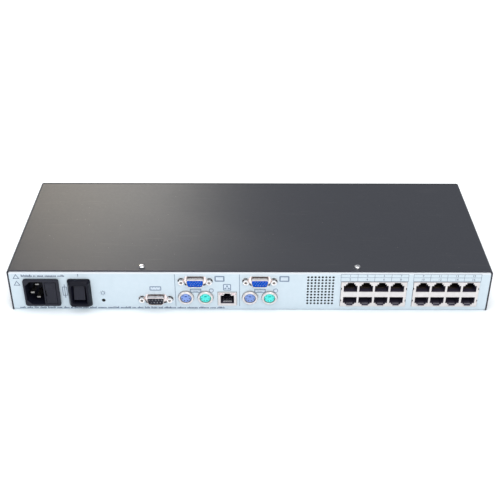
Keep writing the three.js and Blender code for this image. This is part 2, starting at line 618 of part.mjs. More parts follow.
function addConsole(letter, x) {
  addPart(`console_body_${letter}`, consoleBody(x), blackPlastic);
  addPart(`vga_shell_${letter}`, dShell(x, VGA_Z), nickel);
  addPart(`vga_insulator_${letter}`, insulatorTongue(x, VGA_Z), bluePlastic);
  addJackscrews(`vga_${letter}`, x, VGA_Z);
  const sockets = [['keyboard', -1, violetPlastic], ['mouse', 1, aquaPlastic]];
  for (const [use, side, colour] of sockets) {
    const middle = x + side * MINI_DIN.offset;
    addPart(`${use}_collar_${letter}`, dinCollar(middle), nickel);
    addPart(`${use}_insert_${letter}`, dinInsert(middle), colour);
  }
}

// ---- modular jacks ----
// A folded metal shield, open underneath, whose front has the given openings.
function jackShield(x, halfWidth, [low, high], depth, openings) {
  const outer = block(around(x, halfWidth), [-JACK.proud, depth], [low, high]);
  const inner = block(
    around(x, halfWidth - SHIELD), [-JACK.proud + SHIELD, depth - SHIELD], [low - 1, high - SHIELD]);
  return cutBy(outer, inner, ...openings.map((shape) => alongY(shape, [-JACK.proud - 1, 1])));
}

// The moulding inside the shield; each socket takes the body of one plug.
function jackHousing(x, halfWidth, [low, high], depth, sockets) {
  const clear = SHIELD + GAP;
  const body = block(
    around(x, halfWidth - clear), [-JACK.proud + clear, depth - clear], [low, high - clear]);
  const room = [-JACK.proud - 1, JACK.socketDepth];
  return cutBy(body, ...sockets.map(([middle, heights]) => block(
    around(middle, JACK.halfWidth), room, heights)));
}

function addPortBlock(letter, x) {
  const mouths = [];
  const sockets = [];
  for (let column = 0; column < 4; column++) {
    const middle = x + (column - 1.5) * PORT_PITCH;
    mouths.push(jackOutline(middle, UPPER_ROW, 1), jackOutline(middle, LOWER_ROW, -1));
    sockets.push(
      [middle, [UPPER_ROW.sill, UPPER_ROW.sill + JACK.body]],
      [middle, [LOWER_ROW.sill - JACK.body, LOWER_ROW.sill]]);
  }
  const { halfWidth, z, depth, lip } = PORT_BLOCK;
  const apron = block(around(x, halfWidth), [-JACK.proud, -JACK.proud + SHIELD], [lip, z[0] + 1]);
  const cuts = mouths.map((shape) => alongY(shape, [-JACK.proud - 1, 1]));
  const shield = cutBy(jackShield(x, halfWidth, z, depth, mouths).add(apron), ...cuts);
  addPart(`port_block_${letter}_shield`, shield, nickel);
  addPart(`port_block_${letter}_housing`, jackHousing(x, halfWidth, z, depth, sockets), blackPlastic);
}

function addLanJack() {
  const { x, halfWidth, z, depth, sill, shoulder } = LAN_JACK;
  const mouth = polygon([
    [-JACK.halfWidth, sill], [JACK.halfWidth, sill], [JACK.halfWidth, shoulder], [3.3, shoulder],
    [3.3, 18.3], [2.5, 18.3], [2.5, 19.2], [-2.5, 19.2], [-2.5, 18.3], [-3.3, 18.3],
    [-3.3, shoulder], [-JACK.halfWidth, shoulder],
  ].map(([dx, height]) => [x + dx, height]));
  const lamps = [-1, 1].map((side) => roundedBox(
    around(x + side * LAN_LAMP.offset, LAN_LAMP.halfWidth), LAN_LAMP.z, 0.3));
  addPart('lan_jack_shield', jackShield(x, halfWidth, z, depth, [mouth, ...lamps]), nickel);
  addPart('lan_jack_housing', jackHousing(x, halfWidth, z, depth, [[x, [sill, shoulder]]]), blackPlastic);
}

// ---- boards and what stands on them ----
// A finned heatsink that stands on the height given.
function finned({ x: [x0, x1], y, height, fins }, low) {
  const pieces = [block([x0, x1], y, [low, low + FIN.base])];
  for (let i = 0; i < fins; i++) {
    const x = x0 + (i / (fins - 1)) * (x1 - x0 - FIN.thickness);
    pieces.push(block([x, x + FIN.thickness], y, [low + FIN.base - 0.2, low + height]));
  }
  return joined(...pieces);
}

function addBoards() {
  addPart('main_board', block(MAIN_BOARD.x, MAIN_BOARD.y, [BOARD_BOTTOM, BOARD_TOP]), boardGreen);
  const onChip = BOARD_TOP + PROCESSOR_HEATSINK.chipRoom;
  addPart('processor_heatsink', finned(PROCESSOR_HEATSINK, onChip), aluminium);
  const { x, y, top } = POWER_BOARD;
  addPart('power_board', block(x, y, [top - BOARD_THICKNESS, top]), boardGreen);
  const seat = top + GAP;
  addPart('power_capacitor', turned('z', [
    [0, 0], [10.4, 0], [11, 0.6], [11, 2.4], [10.5, 3], [11, 3.6], [11, 27.4], [10.4, 28], [0, 28],
  ], [CAPACITOR.x, CAPACITOR.y, seat], 14), sleeveBlue);
  const core = block(
    around(TRANSFORMER.x, TRANSFORMER.coreHalf[0]), around(TRANSFORMER.y, TRANSFORMER.coreHalf[1]),
    TRANSFORMER.core.map((height) => seat + height));
  const bobbin = block(
    around(TRANSFORMER.x, TRANSFORMER.bobbinHalf[0]), around(TRANSFORMER.y, TRANSFORMER.bobbinHalf[1]),
    [seat, seat + TRANSFORMER.bobbin]);
  addPart('power_transformer', joined(core, bobbin), ferrite);
  addPart('power_heatsink', finned(POWER_HEATSINK, seat), aluminium);
  const ring = [[4, 0], [9, 0], [10, 1], [10, 9], [9, 10], [4, 10], [3, 9], [3, 1], [4, 0]];
  addPart('power_choke', turned('z', ring, [CHOKE.x, CHOKE.y, seat], 14), wireBrown);
}

// ---- leads that the case holds from end to end ----
function addLeads() {
  const wire = 1.2;
  addPart('mains_wire_live', lead([
    [-190.8, 31.5, 27.1], [-190, 36, 27], [-183, 38.5, 26.5], [-172, 36, 26.5], [-162, 31, 26],
    [-158, 27.5, 25.5], [-157, 22, 25.4],
  ], wire, 12), wireBrown);
  addPart('mains_wire_neutral', lead([
    [-190.8, 31.5, 13.1], [-190, 35.5, 13], [-183, 37.5, 13.4], [-172, 35, 13.6], [-162, 30, 13.4],
    [-158, 27, 13.2], [-157, 22, 13.2],
  ], wire, 12), wireBlue);
  addPart('earth_wire', lead([
    [-195, 31.5, 20.1], [-196, 34.5, 19], [-199, 36.5, 14], [-203, 36, 8], [-206, 33.5, 4.2],
    [-208, 30, 3],
  ], wire, 10), wireGreen);
  addPart('switched_mains_lead', lead([
    [-148.5, 22, 19.3], [-148, 27, 19.4], [-144, 33, 19], [-137, 38, 16], [-134, 42, 12.5],
    [-133, 45, 9.6],
  ], 1.8, 10), wireBlue);
  addPart('dc_harness', lead([
    [-118, 122, 10], [-112, 124, 11.5], [-104, 124.5, 12], [-97, 121, 11], [-93, 115, 9],
    [-92, 109, 7.8],
  ], 2, 10), wireRed);
  addPart('led_lead', lead([
    [LED.x, 5, LED.z], [-131, 9, 10.6], [-125, 14, 9.5], [-114, 18, 8.6], [-106, 20, 8],
    [-99, 20.5, 7], [-95, 20.5, 6.6],
  ], 0.9, 14), wireRed);
}

addChassis();
addInlet();
addSwitch();
addSerial();
addConsole('a', CONSOLE_A);
addConsole('b', CONSOLE_B);
addLanJack();
addPortBlock('a', PORT_BLOCK_A);
addPortBlock('b', PORT_BLOCK_B);
addBoards();
addLeads();

// The rocker's shroud and the D shells stand out past the panel; the shroud stands out furthest.
const foremost = Math.max(SWITCH.proud, D_SHELL.proud);
kvmSwitch.position.set(0, -(DEPTH - foremost) / 2, 0);

export default kvmSwitch;
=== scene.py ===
"""Looks of the rack KVM switch: materials, edge softening, print, contacts and board parts."""
import json
import math
import random

import bmesh
import bpy
from mathutils import Matrix, Vector


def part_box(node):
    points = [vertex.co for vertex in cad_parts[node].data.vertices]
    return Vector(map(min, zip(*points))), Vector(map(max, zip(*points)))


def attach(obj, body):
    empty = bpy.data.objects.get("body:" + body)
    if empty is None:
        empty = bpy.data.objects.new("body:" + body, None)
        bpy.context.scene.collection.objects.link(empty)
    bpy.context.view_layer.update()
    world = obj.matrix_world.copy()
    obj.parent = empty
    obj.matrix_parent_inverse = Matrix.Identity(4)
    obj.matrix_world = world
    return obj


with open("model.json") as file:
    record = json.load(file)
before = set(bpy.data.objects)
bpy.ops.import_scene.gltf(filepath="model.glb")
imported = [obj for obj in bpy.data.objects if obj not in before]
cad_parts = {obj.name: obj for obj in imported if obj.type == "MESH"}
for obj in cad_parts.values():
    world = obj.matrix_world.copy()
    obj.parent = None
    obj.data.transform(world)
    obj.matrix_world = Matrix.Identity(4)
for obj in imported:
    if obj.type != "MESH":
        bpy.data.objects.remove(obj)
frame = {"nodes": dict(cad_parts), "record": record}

bpy.context.view_layer.update()

MM = 0.001
NODES = frame["nodes"]
PANEL_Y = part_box("base_pan")[0].y
PANEL_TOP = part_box("base_pan")[1].z
SHEET = 1.2 * MM
random.seed(11)


# -------- camera and stage

def make_camera():
    """The view from in front of the socket panel, looking down at it."""
    right, back, up = 0.7 * MM, 642.0 * MM, 489.6 * MM
    turned, down, rolled = 0.041, 33.444, 0.099
    data = bpy.data.cameras.new("camera")
    data.sensor_width = 36
    data.lens = 63.57
    data.clip_start = 0.01
    data.clip_end = 50
    camera = bpy.data.objects.new("camera", data)
    bpy.context.scene.collection.objects.link(camera)
    place = Matrix.Translation((right, PANEL_Y - back, up))
    turn = Matrix.Rotation(math.radians(turned), 4, "Z")
    tilt = Matrix.Rotation(math.radians(90 - down), 4, "X")
    roll = Matrix.Rotation(math.radians(rolled), 4, "Z")
    camera.matrix_world = place @ turn @ tilt @ roll
    bpy.context.scene.camera = camera


def area_light(name, place, target, size, power, colour):
    """A soft box at a place, aimed at a target."""
    data = bpy.data.lights.new(name, "AREA")
    data.shape = "RECTANGLE"
    data.size, data.size_y = size
    data.energy = power
    data.color = colour
    light = bpy.data.objects.new(name, data)
    light.location = place
    aim = Vector(target) - Vector(place)
    light.rotation_euler = aim.to_track_quat("-Z", "Y").to_euler()
    bpy.context.scene.collection.objects.link(light)


FLOOR_HALF = 6
FLOOR_GAP = 0.05 * MM
CONTACT_REACH = 20 * MM


def floor_paper():
    """White paper that glows a little, and less so close to the object: a soft contact shade."""
    material = bpy.data.materials.new("floor_paper")
    material.use_nodes = True
    tree = material.node_tree
    shader = tree.nodes["Principled BSDF"]
    shader.inputs["Roughness"].default_value = 0.9
    shader.inputs["Emission Strength"].default_value = 0.24
    near = node(tree, "ShaderNodeAmbientOcclusion", samples=16, Distance=CONTACT_REACH)
    open_sky = spread(tree, near.outputs["AO"], 0, 1, 0.45, 0.95)
    paper = mix(tree, open_sky, (0.66, 0.7, 0.73), (0.9, 0.93, 0.96))
    glow = mix(tree, open_sky, (0.6, 0.68, 0.73), (1.0, 1.0, 1.0))
    tree.links.new(paper, shader.inputs["Base Color"])
    tree.links.new(glow, shader.inputs["Emission Color"])
    return material


def make_floor():
    """A wide sheet just under the object."""
    bm = bmesh.new()
    corners = rectangle((0, 0), (FLOOR_HALF, FLOOR_HALF))
    bm.faces.new([bm.verts.new((x, y, -FLOOR_GAP)) for x, y in corners])
    mesh = bpy.data.meshes.new("floor")
    bm.to_mesh(mesh)
    bm.free()
    mesh.materials.append(floor_paper())
    floor = bpy.data.objects.new("floor", mesh)
    bpy.context.scene.collection.objects.link(floor)


def make_lights():
    """A bright even surround, three soft boxes, and two warm cards mirrored in the cover's left."""
    world = bpy.data.worlds.new("surround")
    bpy.context.scene.world = world
    world.use_nodes = True
    background = world.node_tree.nodes["Background"]
    background.inputs["Color"].default_value = (0.93, 0.96, 1.0, 1)
    background.inputs["Strength"].default_value = 0.4
    area_light("key", (0.6, -1.3, 1.5), (0, 0, 0), (1.6, 1.2), 23, (1.0, 0.98, 0.95))
    area_light("fill", (-1.1, -0.9, 1.0), (0, 0, 0), (1.0, 1.0), 7, (0.92, 0.96, 1.0))
    area_light("amber_card", (-0.655, 1.5, 0.79), (-0.255, 0, 0.03), (0.31, 0.54), 2.65, (1.0, 0.88, 0.7))
    area_light("warm_card", (-0.345, 1.5, 0.76), (0.055, 0, 0), (0.31, 0.6), 2.95, (1.0, 0.95, 0.86))
    area_light("overhead", (0, 0.1, 1.7), (0, 0, 0), (1.8, 1.4), 14, (1.0, 1.0, 1.0))
    bpy.context.scene.view_settings.view_transform = "Standard"


# -------- materials

def node(tree, kind, **settings):
    """One shader node; a setting that names an input sets that input's value."""
    made = tree.nodes.new(kind)
    for key, value in settings.items():
        label = key.replace("_", " ")
        if label in made.inputs:
            made.inputs[label].default_value = value
        else:
            setattr(made, key, value)
    return made


def grain(tree, scale, detail=2.0, stretch=(1, 1, 1)):
    """Noise in the object's own metres; scale counts the blotches in a metre."""
    coords = node(tree, "ShaderNodeTexCoord")
    mapping = node(tree, "ShaderNodeMapping", Scale=stretch)
    texture = node(tree, "ShaderNodeTexNoise", Scale=scale, Detail=detail)
    tree.links.new(coords.outputs["Object"], mapping.inputs["Vector"])
    tree.links.new(mapping.outputs["Vector"], texture.inputs["Vector"])
    return texture.outputs["Fac"]


def spread(tree, factor, low, high, start=0.3, end=0.7):
    """Maps a 0 to 1 factor onto a range of values."""
    made = node(tree, "ShaderNodeMapRange", From_Min=start, From_Max=end, To_Min=low, To_Max=high)
    tree.links.new(factor, made.inputs["Value"])
    return made.outputs["Result"]


def mix(tree, factor, first, second):
    """Mixes two colours, each a constant or a socket."""
    made = node(tree, "ShaderNodeMix", data_type="RGBA")
    tree.links.new(factor, made.inputs[0])
    for socket, value in ((made.inputs[6], first), (made.inputs[7], second)):
        if isinstance(value, tuple):
            socket.default_value = (*value, 1)
        else:
            tree.links.new(value, socket)
    return made.outputs[2]


def where(tree, *tests):
    """1 where every (axis, operation, limit) test of the object's own coordinates holds, else 0."""
    coords = node(tree, "ShaderNodeTexCoord")
    parts = node(tree, "ShaderNodeSeparateXYZ")
    tree.links.new(coords.outputs["Object"], parts.inputs["Vector"])
    product = None
    for part, operation, limit in tests:
        test = node(tree, "ShaderNodeMath", operation=operation)
        tree.links.new(parts.outputs[part], test.inputs[0])
        test.inputs[1].default_value = limit
        if product is None:
            product = test.outputs["Value"]
            continue
        both = node(tree, "ShaderNodeMath", operation="MULTIPLY")
        tree.links.new(product, both.inputs[0])
        tree.links.new(test.outputs["Value"], both.inputs[1])
        product = both.outputs["Value"]
    return product


def linear(red, green, blue):
    """A colour given as 0 to 255 screen values, as scene light."""
    def one(value):
        share = value / 255
        return share / 12.92 if share <= 0.04045 else ((share + 0.055) / 1.055) ** 2.4
    return one(red), one(green), one(blue)


def shade(colour, factor):
    """The same colour, lighter or darker."""
    return tuple(min(1.0, part * factor) for part in colour)


class Surface:
    """A principled material whose colour, roughness and relief are built up step by step."""

    def __init__(self, name, roughness, metallic=0.0):
        self.material = bpy.data.materials.new(name)
        self.material.use_nodes = True
        self.tree = self.material.node_tree
        self.shader = self.tree.nodes["Principled BSDF"]
        self.shader.inputs["Roughness"].default_value = roughness
        self.shader.inputs["Metallic"].default_value = metallic

    def paint(self, socket):
        """Takes the colour from a node's socket."""
        self.tree.links.new(socket, self.shader.inputs["Base Color"])
        return self

    def mottle(self, colour, change, scale):
        """Colour that drifts a little lighter and darker."""
        factor = spread(self.tree, grain(self.tree, scale, 3), 0, 1)
        darker, lighter = shade(colour, 1 - change), shade(colour, 1 + change)
        return self.paint(mix(self.tree, factor, darker, lighter))

    def rough(self, low, high, scale, detail=2.0, stretch=(1, 1, 1)):
        """Roughness that drifts between two values."""
        value = spread(self.tree, grain(self.tree, scale, detail, stretch), low, high)
        self.tree.links.new(value, self.shader.inputs["Roughness"])
        return self

    def bump(self, height, scale, detail=2.0, stretch=(1, 1, 1)):
        """Relief of a height in metres."""
        made = node(self.tree, "ShaderNodeBump", Strength=1.0, Distance=height)
        self.tree.links.new(grain(self.tree, scale, detail, stretch), made.inputs["Height"])
        self.tree.links.new(made.outputs["Normal"], self.shader.inputs["Normal"])
        return self

    def set(self, **inputs):
        """Sets the shader's other inputs by name."""
        for key, value in inputs.items():
            self.shader.inputs[key.replace("_", " ")].default_value = value
        return self


def cover_paint():
    """Charcoal powder coat: fine orange peel, specks of dust, a few faint rubs and painted shade on the
    rear cut edge.
    """
    made = Surface("cover_paint", 0.4)
    tree = made.tree
    base = mix(tree, grain(tree, 700, 2), linear(43, 45, 52), linear(50, 52, 60))
    rub = spread(tree, grain(tree, 30, 6, (1, 14, 1)), 0, 0.5, start=0.62, end=0.72)
    rubbed = mix(tree, rub, base, linear(61, 62, 67))
    dust = spread(tree, grain(tree, 620, 1), 0, 1, start=0.76, end=0.82)
    dusty = mix(tree, dust, rubbed, linear(110, 110, 112))
    # Painted shade: the cover's rear cut edge is painted dark navy.
    cut_edge_shade = where(tree, ("Y", "LESS_THAN", PANEL_Y + 0.3 * MM))
    made.paint(mix(tree, cut_edge_shade, dusty, linear(24, 24, 42)))
    made.rough(0.35, 0.41, 340, 3)
    return made.bump(0.02 * MM, 1300, 2).material


def panel_paint():
    """Pale blue-grey coat with a painted highlight along the pan's top bend, and painted shade: a dark
    steel tone on the inner side and the vent holes' walls.
    """
    made = Surface("panel_paint", 0.42)
    tree = made.tree
    drift = spread(tree, grain(tree, 240, 3), 0, 1)
    flat = mix(tree, drift, linear(192, 206, 215), linear(196, 209, 218))
    # Painted highlight: the top 2.1 mm of the pan, round its bend, is painted whiter.
    painted_bend_highlight = where(tree, ("Z", "GREATER_THAN", PANEL_TOP - 2.1 * MM))
    coat = mix(tree, painted_bend_highlight, flat, linear(214, 218, 223))
    # Painted shade: a dark steel tone on the panel's inner side and the vent holes' walls, so that the
    # holes read dark.
    steel = mix(tree, grain(tree, 90, 3), linear(64, 66, 70), linear(84, 86, 90))
    painted_inner_shade = where(
        tree, ("Y", "GREATER_THAN", PANEL_Y + 0.16 * MM), ("Z", "GREATER_THAN", 1.0 * MM),
        ("Z", "LESS_THAN", PANEL_TOP - 1.1 * MM))
    made.paint(mix(tree, painted_inner_shade, coat, steel))
    return made.rough(0.4, 0.5, 400).bump(0.01 * MM, 1500, 2).material


def moulding(name, colour, roughness, texture, gloss):
    """Moulded plastic with a fine spark-eroded texture."""
    made = Surface(name, roughness).mottle(colour, 0.08, 160).set(Specular_IOR_Level=gloss)
    return made.rough(roughness - 0.06, roughness + 0.08, 300).bump(texture * MM, 2600, 2).material


def plated(name, colour, roughness, stretch):
    """Bright plate over drawn metal: faint rolling lines and dull patches."""
    made = Surface(name, roughness, metallic=1.0).mottle(colour, 0.05, 220)
    made.rough(roughness - 0.06, roughness + 0.12, 420, 3, stretch)
    return made.bump(0.004 * MM, 1800, 2, stretch).material


def tin_plate():
    """Dull tin over steel: whitish, soft in its reflections."""
    made = Surface("tin_plate", 0.4, metallic=0.6).mottle(linear(211, 206, 205), 0.04, 260)
    return made.rough(0.34, 0.5, 420, 3).bump(0.004 * MM, 1800, 2).material


def circuit_board():
    """Green solder mask over copper: routed lines show as slightly lighter bands."""
    made = Surface("circuit_board", 0.35)
    tree = made.tree
    coords = node(tree, "ShaderNodeTexCoord")
    lines = []
    across, along = (0, 330), (math.pi / 2, 260)
    for angle, scale in (across, along):
        mapping = node(tree, "ShaderNodeMapping", Rotation=(0, 0, angle))
        wave = node(tree, "ShaderNodeTexWave", wave_type="BANDS", Scale=scale, Distortion=0.4)
        tree.links.new(coords.outputs["Object"], mapping.inputs["Vector"])
        tree.links.new(mapping.outputs["Vector"], wave.inputs["Vector"])
        lines.append(spread(tree, wave.outputs["Fac"], 0, 1, 0.7, 0.8))
    patch = spread(tree, grain(tree, 45, 0), 0, 1, 0.5, 0.52)
    first, second = [mix(tree, line, linear(22, 72, 44), linear(38, 98, 60)) for line in lines]
    made.paint(mix(tree, patch, first, second))
    return made.bump(0.02 * MM, 900, 1).material


def clear_glass(name, colour, roughness=0.05):
    """Clear glass or plastic, lightly tinted."""
    made = Surface(name, roughness).mottle(colour, 0.04, 200)
    return made.set(Transmission_Weight=0.7, IOR=1.5).material


def winding():
    """Enamelled copper wire laid round a core."""
    made = Surface("copper_winding", 0.3, metallic=1.0)
    tree = made.tree
    coords = node(tree, "ShaderNodeTexCoord")
    wave = node(
        tree, "ShaderNodeTexWave", wave_type="RINGS", rings_direction="Z", Scale=200, Distortion=0.3)
    tree.links.new(coords.outputs["Object"], wave.inputs["Vector"])
    made.paint(mix(tree, wave.outputs["Fac"], linear(96, 44, 22), linear(178, 96, 52)))
    return made.bump(0.05 * MM, 800, 1).material


# Screen colour, roughness, texture depth in millimetres and gloss of each moulded or printed look.
MOULDED = {
    "bezel_plastic": ((46, 47, 51), 0.52, 0.03, 0.5),
    "black_plastic": ((22, 23, 36), 0.4, 0.02, 0.26),
    "switch_plastic": ((11, 12, 24), 0.36, 0.006, 0.14),
    "socket_plastic": ((56, 51, 68), 0.55, 0.02, 0.3),
    "blue_plastic": ((2, 75, 182), 0.5, 0.02, 0.1),
    "violet_plastic": ((118, 146, 210), 0.42, 0.02, 0.5),
    "aqua_plastic": ((70, 222, 214), 0.42, 0.02, 0.5),
    "comb_plastic": ((124, 120, 126), 0.5, 0.01, 0.5),
    "header_plastic": ((214, 208, 192), 0.45, 0.01, 0.5),
    "chip_epoxy": ((34, 34, 36), 0.5, 0.01, 0.5),
    "ceramic": ((132, 112, 86), 0.4, 0.004, 0.5),
    "ferrite": ((52, 49, 46), 0.7, 0.05, 0.5),
    "film_yellow": ((206, 170, 62), 0.4, 0.01, 0.5),
    "sleeve": ((34, 50, 92), 0.3, 0.01, 0.5),
    "sleeve_red": ((178, 46, 48), 0.35, 0.005, 0.5),
    "wire_brown": ((92, 56, 34), 0.5, 0.01, 0.5),
    "wire_blue": ((44, 92, 166), 0.5, 0.01, 0.5),
    "wire_green": ((80, 146, 62), 0.5, 0.01, 0.5),
    "wire_red": ((166, 44, 40), 0.5, 0.01, 0.5),
    "ink": ((98, 112, 134), 0.55, 0.004, 0.5),
    "dark_ink": ((58, 70, 102), 0.55, 0.004, 0.5),
    "pale_ink": ((116, 132, 152), 0.55, 0.004, 0.5),
    "screen_ink": ((200, 212, 223), 0.55, 0.004, 0.5),
    "mark_grey": ((92, 94, 104), 0.5, 0.004, 0.5),
    "lamp_window": ((238, 214, 216), 0.3, 0.004, 0.5),
}
# Screen colour, roughness and stretch of the grain for each plated or bare metal look.
PLATED = {
    "nickel": ((226, 222, 220), 0.24, (1, 1, 1)),
    "screw_steel": ((232, 232, 234), 0.22, (1, 1, 1)),
    "shell_plate": ((236, 224, 221), 0.3, (1, 1, 1)),
    "pin_metal": ((150, 148, 146), 0.36, (1, 1, 1)),
    "contact_metal": ((96, 82, 62), 0.35, (1, 1, 1)),
    "gold": ((214, 178, 96), 0.2, (1, 1, 1)),
    "aluminium": ((186, 188, 192), 0.34, (1, 0.05, 1)),
}


def make_materials():
    """One look for each of the record's slots, and a few more for small pieces."""
    looks = {
        "cover_paint": cover_paint(),
        "panel_paint": panel_paint(),
        "tin_plate": tin_plate(),
        "circuit_board": circuit_board(),
        "copper_winding": winding(),
        "led_lens": clear_glass("led_lens", linear(30, 44, 34), 0.12),
        "fuse_glass": clear_glass("fuse_glass", linear(214, 222, 222)),
    }
    for name, (colour, roughness, texture, gloss) in MOULDED.items():
        looks[name] = moulding(name, linear(*colour), roughness, texture, gloss)
    for name, (colour, roughness, stretch) in PLATED.items():
        looks[name] = plated(name, linear(*colour), roughness, stretch)
    return looks


# -------- CAD nodes: softened edges and looks

def dress(name, material):
    """Puts a material on a CAD node, and leaves its normals to the edge rounding."""
    obj = NODES[name]
    obj.data.materials.clear()
    obj.data.materials.append(material)
    for polygon in obj.data.polygons:
        polygon.use_smooth = True
    if "custom_normal" in obj.data.attributes:
        obj.data.attributes.remove(obj.data.attributes["custom_normal"])


def round_edges(obj, width):
    """A two-step rounding of every edge that turns by 34 degrees or more."""
    bevel = obj.modifiers.new("edges", "BEVEL")
    bevel.width = width * MM
    bevel.segments = 2
    bevel.limit_method = "ANGLE"
    bevel.angle_limit = math.radians(34)
    bevel.use_clamp_overlap = True
    bevel.harden_normals = True


def soften(name, width):
    """Joins a CAD node's split corners, merges its flat triangles and rounds its edges."""
    obj = NODES[name]
    obj.modifiers.new("weld", "WELD").merge_threshold = 0.001 * MM
    flats = obj.modifiers.new("flats", "DECIMATE")
    flats.decimate_type = "DISSOLVE"
    flats.angle_limit = math.radians(0.6)
    round_edges(obj, width)


# Edge roundings in millimetres, for the nodes that don't take FINE_EDGE.
EDGE_WIDTHS = {
    "base_pan": 0.12, "top_cover": 0.25, "front_bezel": 0.4, "inlet_housing": 0.35, "fuse_drawer": 0.3,
    "switch_housing": 0.3, "power_rocker": 0.3, "main_board": 0.1, "power_board": 0.1,
    "inlet_line_pin": 0.9, "inlet_neutral_pin": 0.9, "inlet_earth_pin": 0.9,
    "power_transformer": 0.5, "power_heatsink": 0.15, "processor_heatsink": 0.15,
}
FINE_EDGE = 0.12


def look_of(name, slot):
    """The look of a CAD node: its slot's own, or a closer one for some small parts."""
    if "_shield" in name or "_collar" in name:
        return "tin_plate"
    if "_shell" in name:
        return "shell_plate"
    if name == "switch_housing":
        return "switch_plastic"
    if name.startswith("inlet_") and name.endswith("_pin"):
        return "pin_metal"
    if name.endswith("_housing") and name.startswith(("port_block", "lan_jack")):
        return "socket_plastic"
    return slot


def dress_nodes():
    """Every CAD node gets its look and soft edges."""
    slots = {row["node"]: row["material_slot"] for row in frame["record"]["subparts"]}
    for name in NODES:
        dress(name, LOOKS[look_of(name, slots[name])])
        soften(name, EDGE_WIDTHS.get(name, FINE_EDGE))


# -------- building small pieces

def rounded(middle, half, radius, steps=4):
    """An upright rectangle with round corners, as (across, up) points."""
    points = []
    for turn, (sx, sz) in enumerate(((1, 1), (-1, 1), (-1, -1), (1, -1))):
        cx = middle[0] + sx * (half[0] - radius)
        cz = middle[1] + sz * (half[1] - radius)
        for i in range(steps + 1):
            angle = math.pi / 2 * (turn + i / steps)
            points.append((cx + radius * math.cos(angle), cz + radius * math.sin(angle)))
    return points


def circle(middle, radius, sides=20, start=0.0):
    """A round or many-sided outline."""
    return [
        (middle[0] + radius * math.cos(start + math.tau * i / sides),
         middle[1] + radius * math.sin(start + math.tau * i / sides))
        for i in range(sides)]


def rectangle(middle, half):
    """A sharp-cornered outline."""
    return [(middle[0] + sx * half[0], middle[1] + sz * half[1])
            for sx, sz in ((1, 1), (-1, 1), (-1, -1), (1, -1))]


def spaced(count, pitch, middle=0.0):
    """Evenly spaced places about a middle."""
    return [middle + (i - (count - 1) / 2) * pitch for i in range(count)]


def rotated(outline, middle, angle):
    """An outline turned about a point."""
    cosine, sine = math.cos(angle), math.sin(angle)
    return [
        (middle[0] + (a - middle[0]) * cosine - (b - middle[1]) * sine,
         middle[1] + (a - middle[0]) * sine + (b - middle[1]) * cosine)
        for a, b in outline]


AXIS_ORDER = {
    "x": lambda a, b, along: (along, a, b),
    "y": lambda a, b, along: (a, along, b),
    "z": lambda a, b, along: (a, b, along),
}


class Build:
    """The solids of one piece, in millimetres, with y = 0 on the socket panel's outer face."""

    def __init__(self):
        self.bm = bmesh.new()

    def prism(self, outline, reach, axis="y"):
        """An outline pushed along an axis."""
        self.stack([(outline, reach[0]), (outline, reach[1])], axis)
        return self

    def stack(self, layers, axis="y"):
        """A solid through several outlines with the same number of points."""
        order = AXIS_ORDER[axis]
        loops = [
            [self.bm.verts.new(order(a, b, along)) for a, b in outline]
            for outline, along in layers]
        count = len(loops[0])
        self.bm.faces.new(loops[0])
        self.bm.faces.new(reversed(loops[-1]))
        for near, far in zip(loops, loops[1:]):
            for i in range(count):
                after = (i + 1) % count
                self.bm.faces.new((near[i], far[i], far[after], near[after]))
        return self

    def frame(self, outer, inner, reach, axis="y"):
        """A flat frame between two outlines with the same number of points."""
        order = AXIS_ORDER[axis]
        rims = [[self.bm.verts.new(order(a, b, along)) for a, b in outline]
                for along in reach for outline in (outer, inner)]
        near_out, near_in, far_out, far_in = rims
        count = len(outer)
        walls = ((near_out, near_in), (near_in, far_in), (far_in, far_out), (far_out, near_out))
        for first, second in walls:
            for i in range(count):
                after = (i + 1) % count
                self.bm.faces.new((first[i], second[i], second[after], first[after]))
        return self

    def box(self, x, y, z):
        """A block between three pairs of limits."""
        middle = ((x[0] + x[1]) / 2, (z[0] + z[1]) / 2)
        half = ((x[1] - x[0]) / 2, (z[1] - z[0]) / 2)
        return self.prism(rectangle(middle, half), y)

    def turned(self, profile, middle, sides=20):
        """An upright turned solid; the profile's (radius, height) rows run from end to end."""
        return self.stack([(circle(middle, radius, sides), height) for radius, height in profile], "z")

    def strip(self, path, thickness, reach):
        """A bent strip: a path of (y, z) points with a thickness, as wide as its reach in x."""
        sides = ([], [])
        for i, (y, z) in enumerate(path):
            before = path[max(i - 1, 0)]
            after = path[min(i + 1, len(path) - 1)]
            length = math.hypot(after[0] - before[0], after[1] - before[1])
            across = ((before[1] - after[1]) / length, (after[0] - before[0]) / length)
            for side, sign in zip(sides, (1, -1)):
                shift = sign * thickness / 2
                side.append((y + shift * across[0], z + shift * across[1]))
        return self.prism(sides[0] + sides[1][::-1], reach, axis="x")

    def mesh(self, name):
        """The mesh in metres, in the frame's place."""
        bmesh.ops.recalc_face_normals(self.bm, faces=self.bm.faces)
        made = bpy.data.meshes.new(name)
        self.bm.to_mesh(made)
        self.bm.free()
        made.transform(Matrix.Translation((0, PANEL_Y, 0)) @ Matrix.Scale(MM, 4))
        return made

    def piece(self, name, look, slot, body="root", edge=0.0):
        """The finished piece, with soft edges, riding on a body."""
        mesh = self.mesh(name)
        mesh.materials.append(LOOKS[look])
        mesh.shade_smooth()
        mesh.set_sharp_from_angle(angle=math.radians(40))
        obj = bpy.data.objects.new(name, mesh)
        bpy.context.scene.collection.objects.link(obj)
        if edge:
            round_edges(obj, edge)
        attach(obj, body)

    def cutter(self, name):
        """A hidden object that only cuts others."""
        made = bpy.data.objects.new(name, self.mesh(name))
        bpy.context.scene.collection.objects.link(made)
        made.hide_render = True
        made.hide_viewport = True
        return made


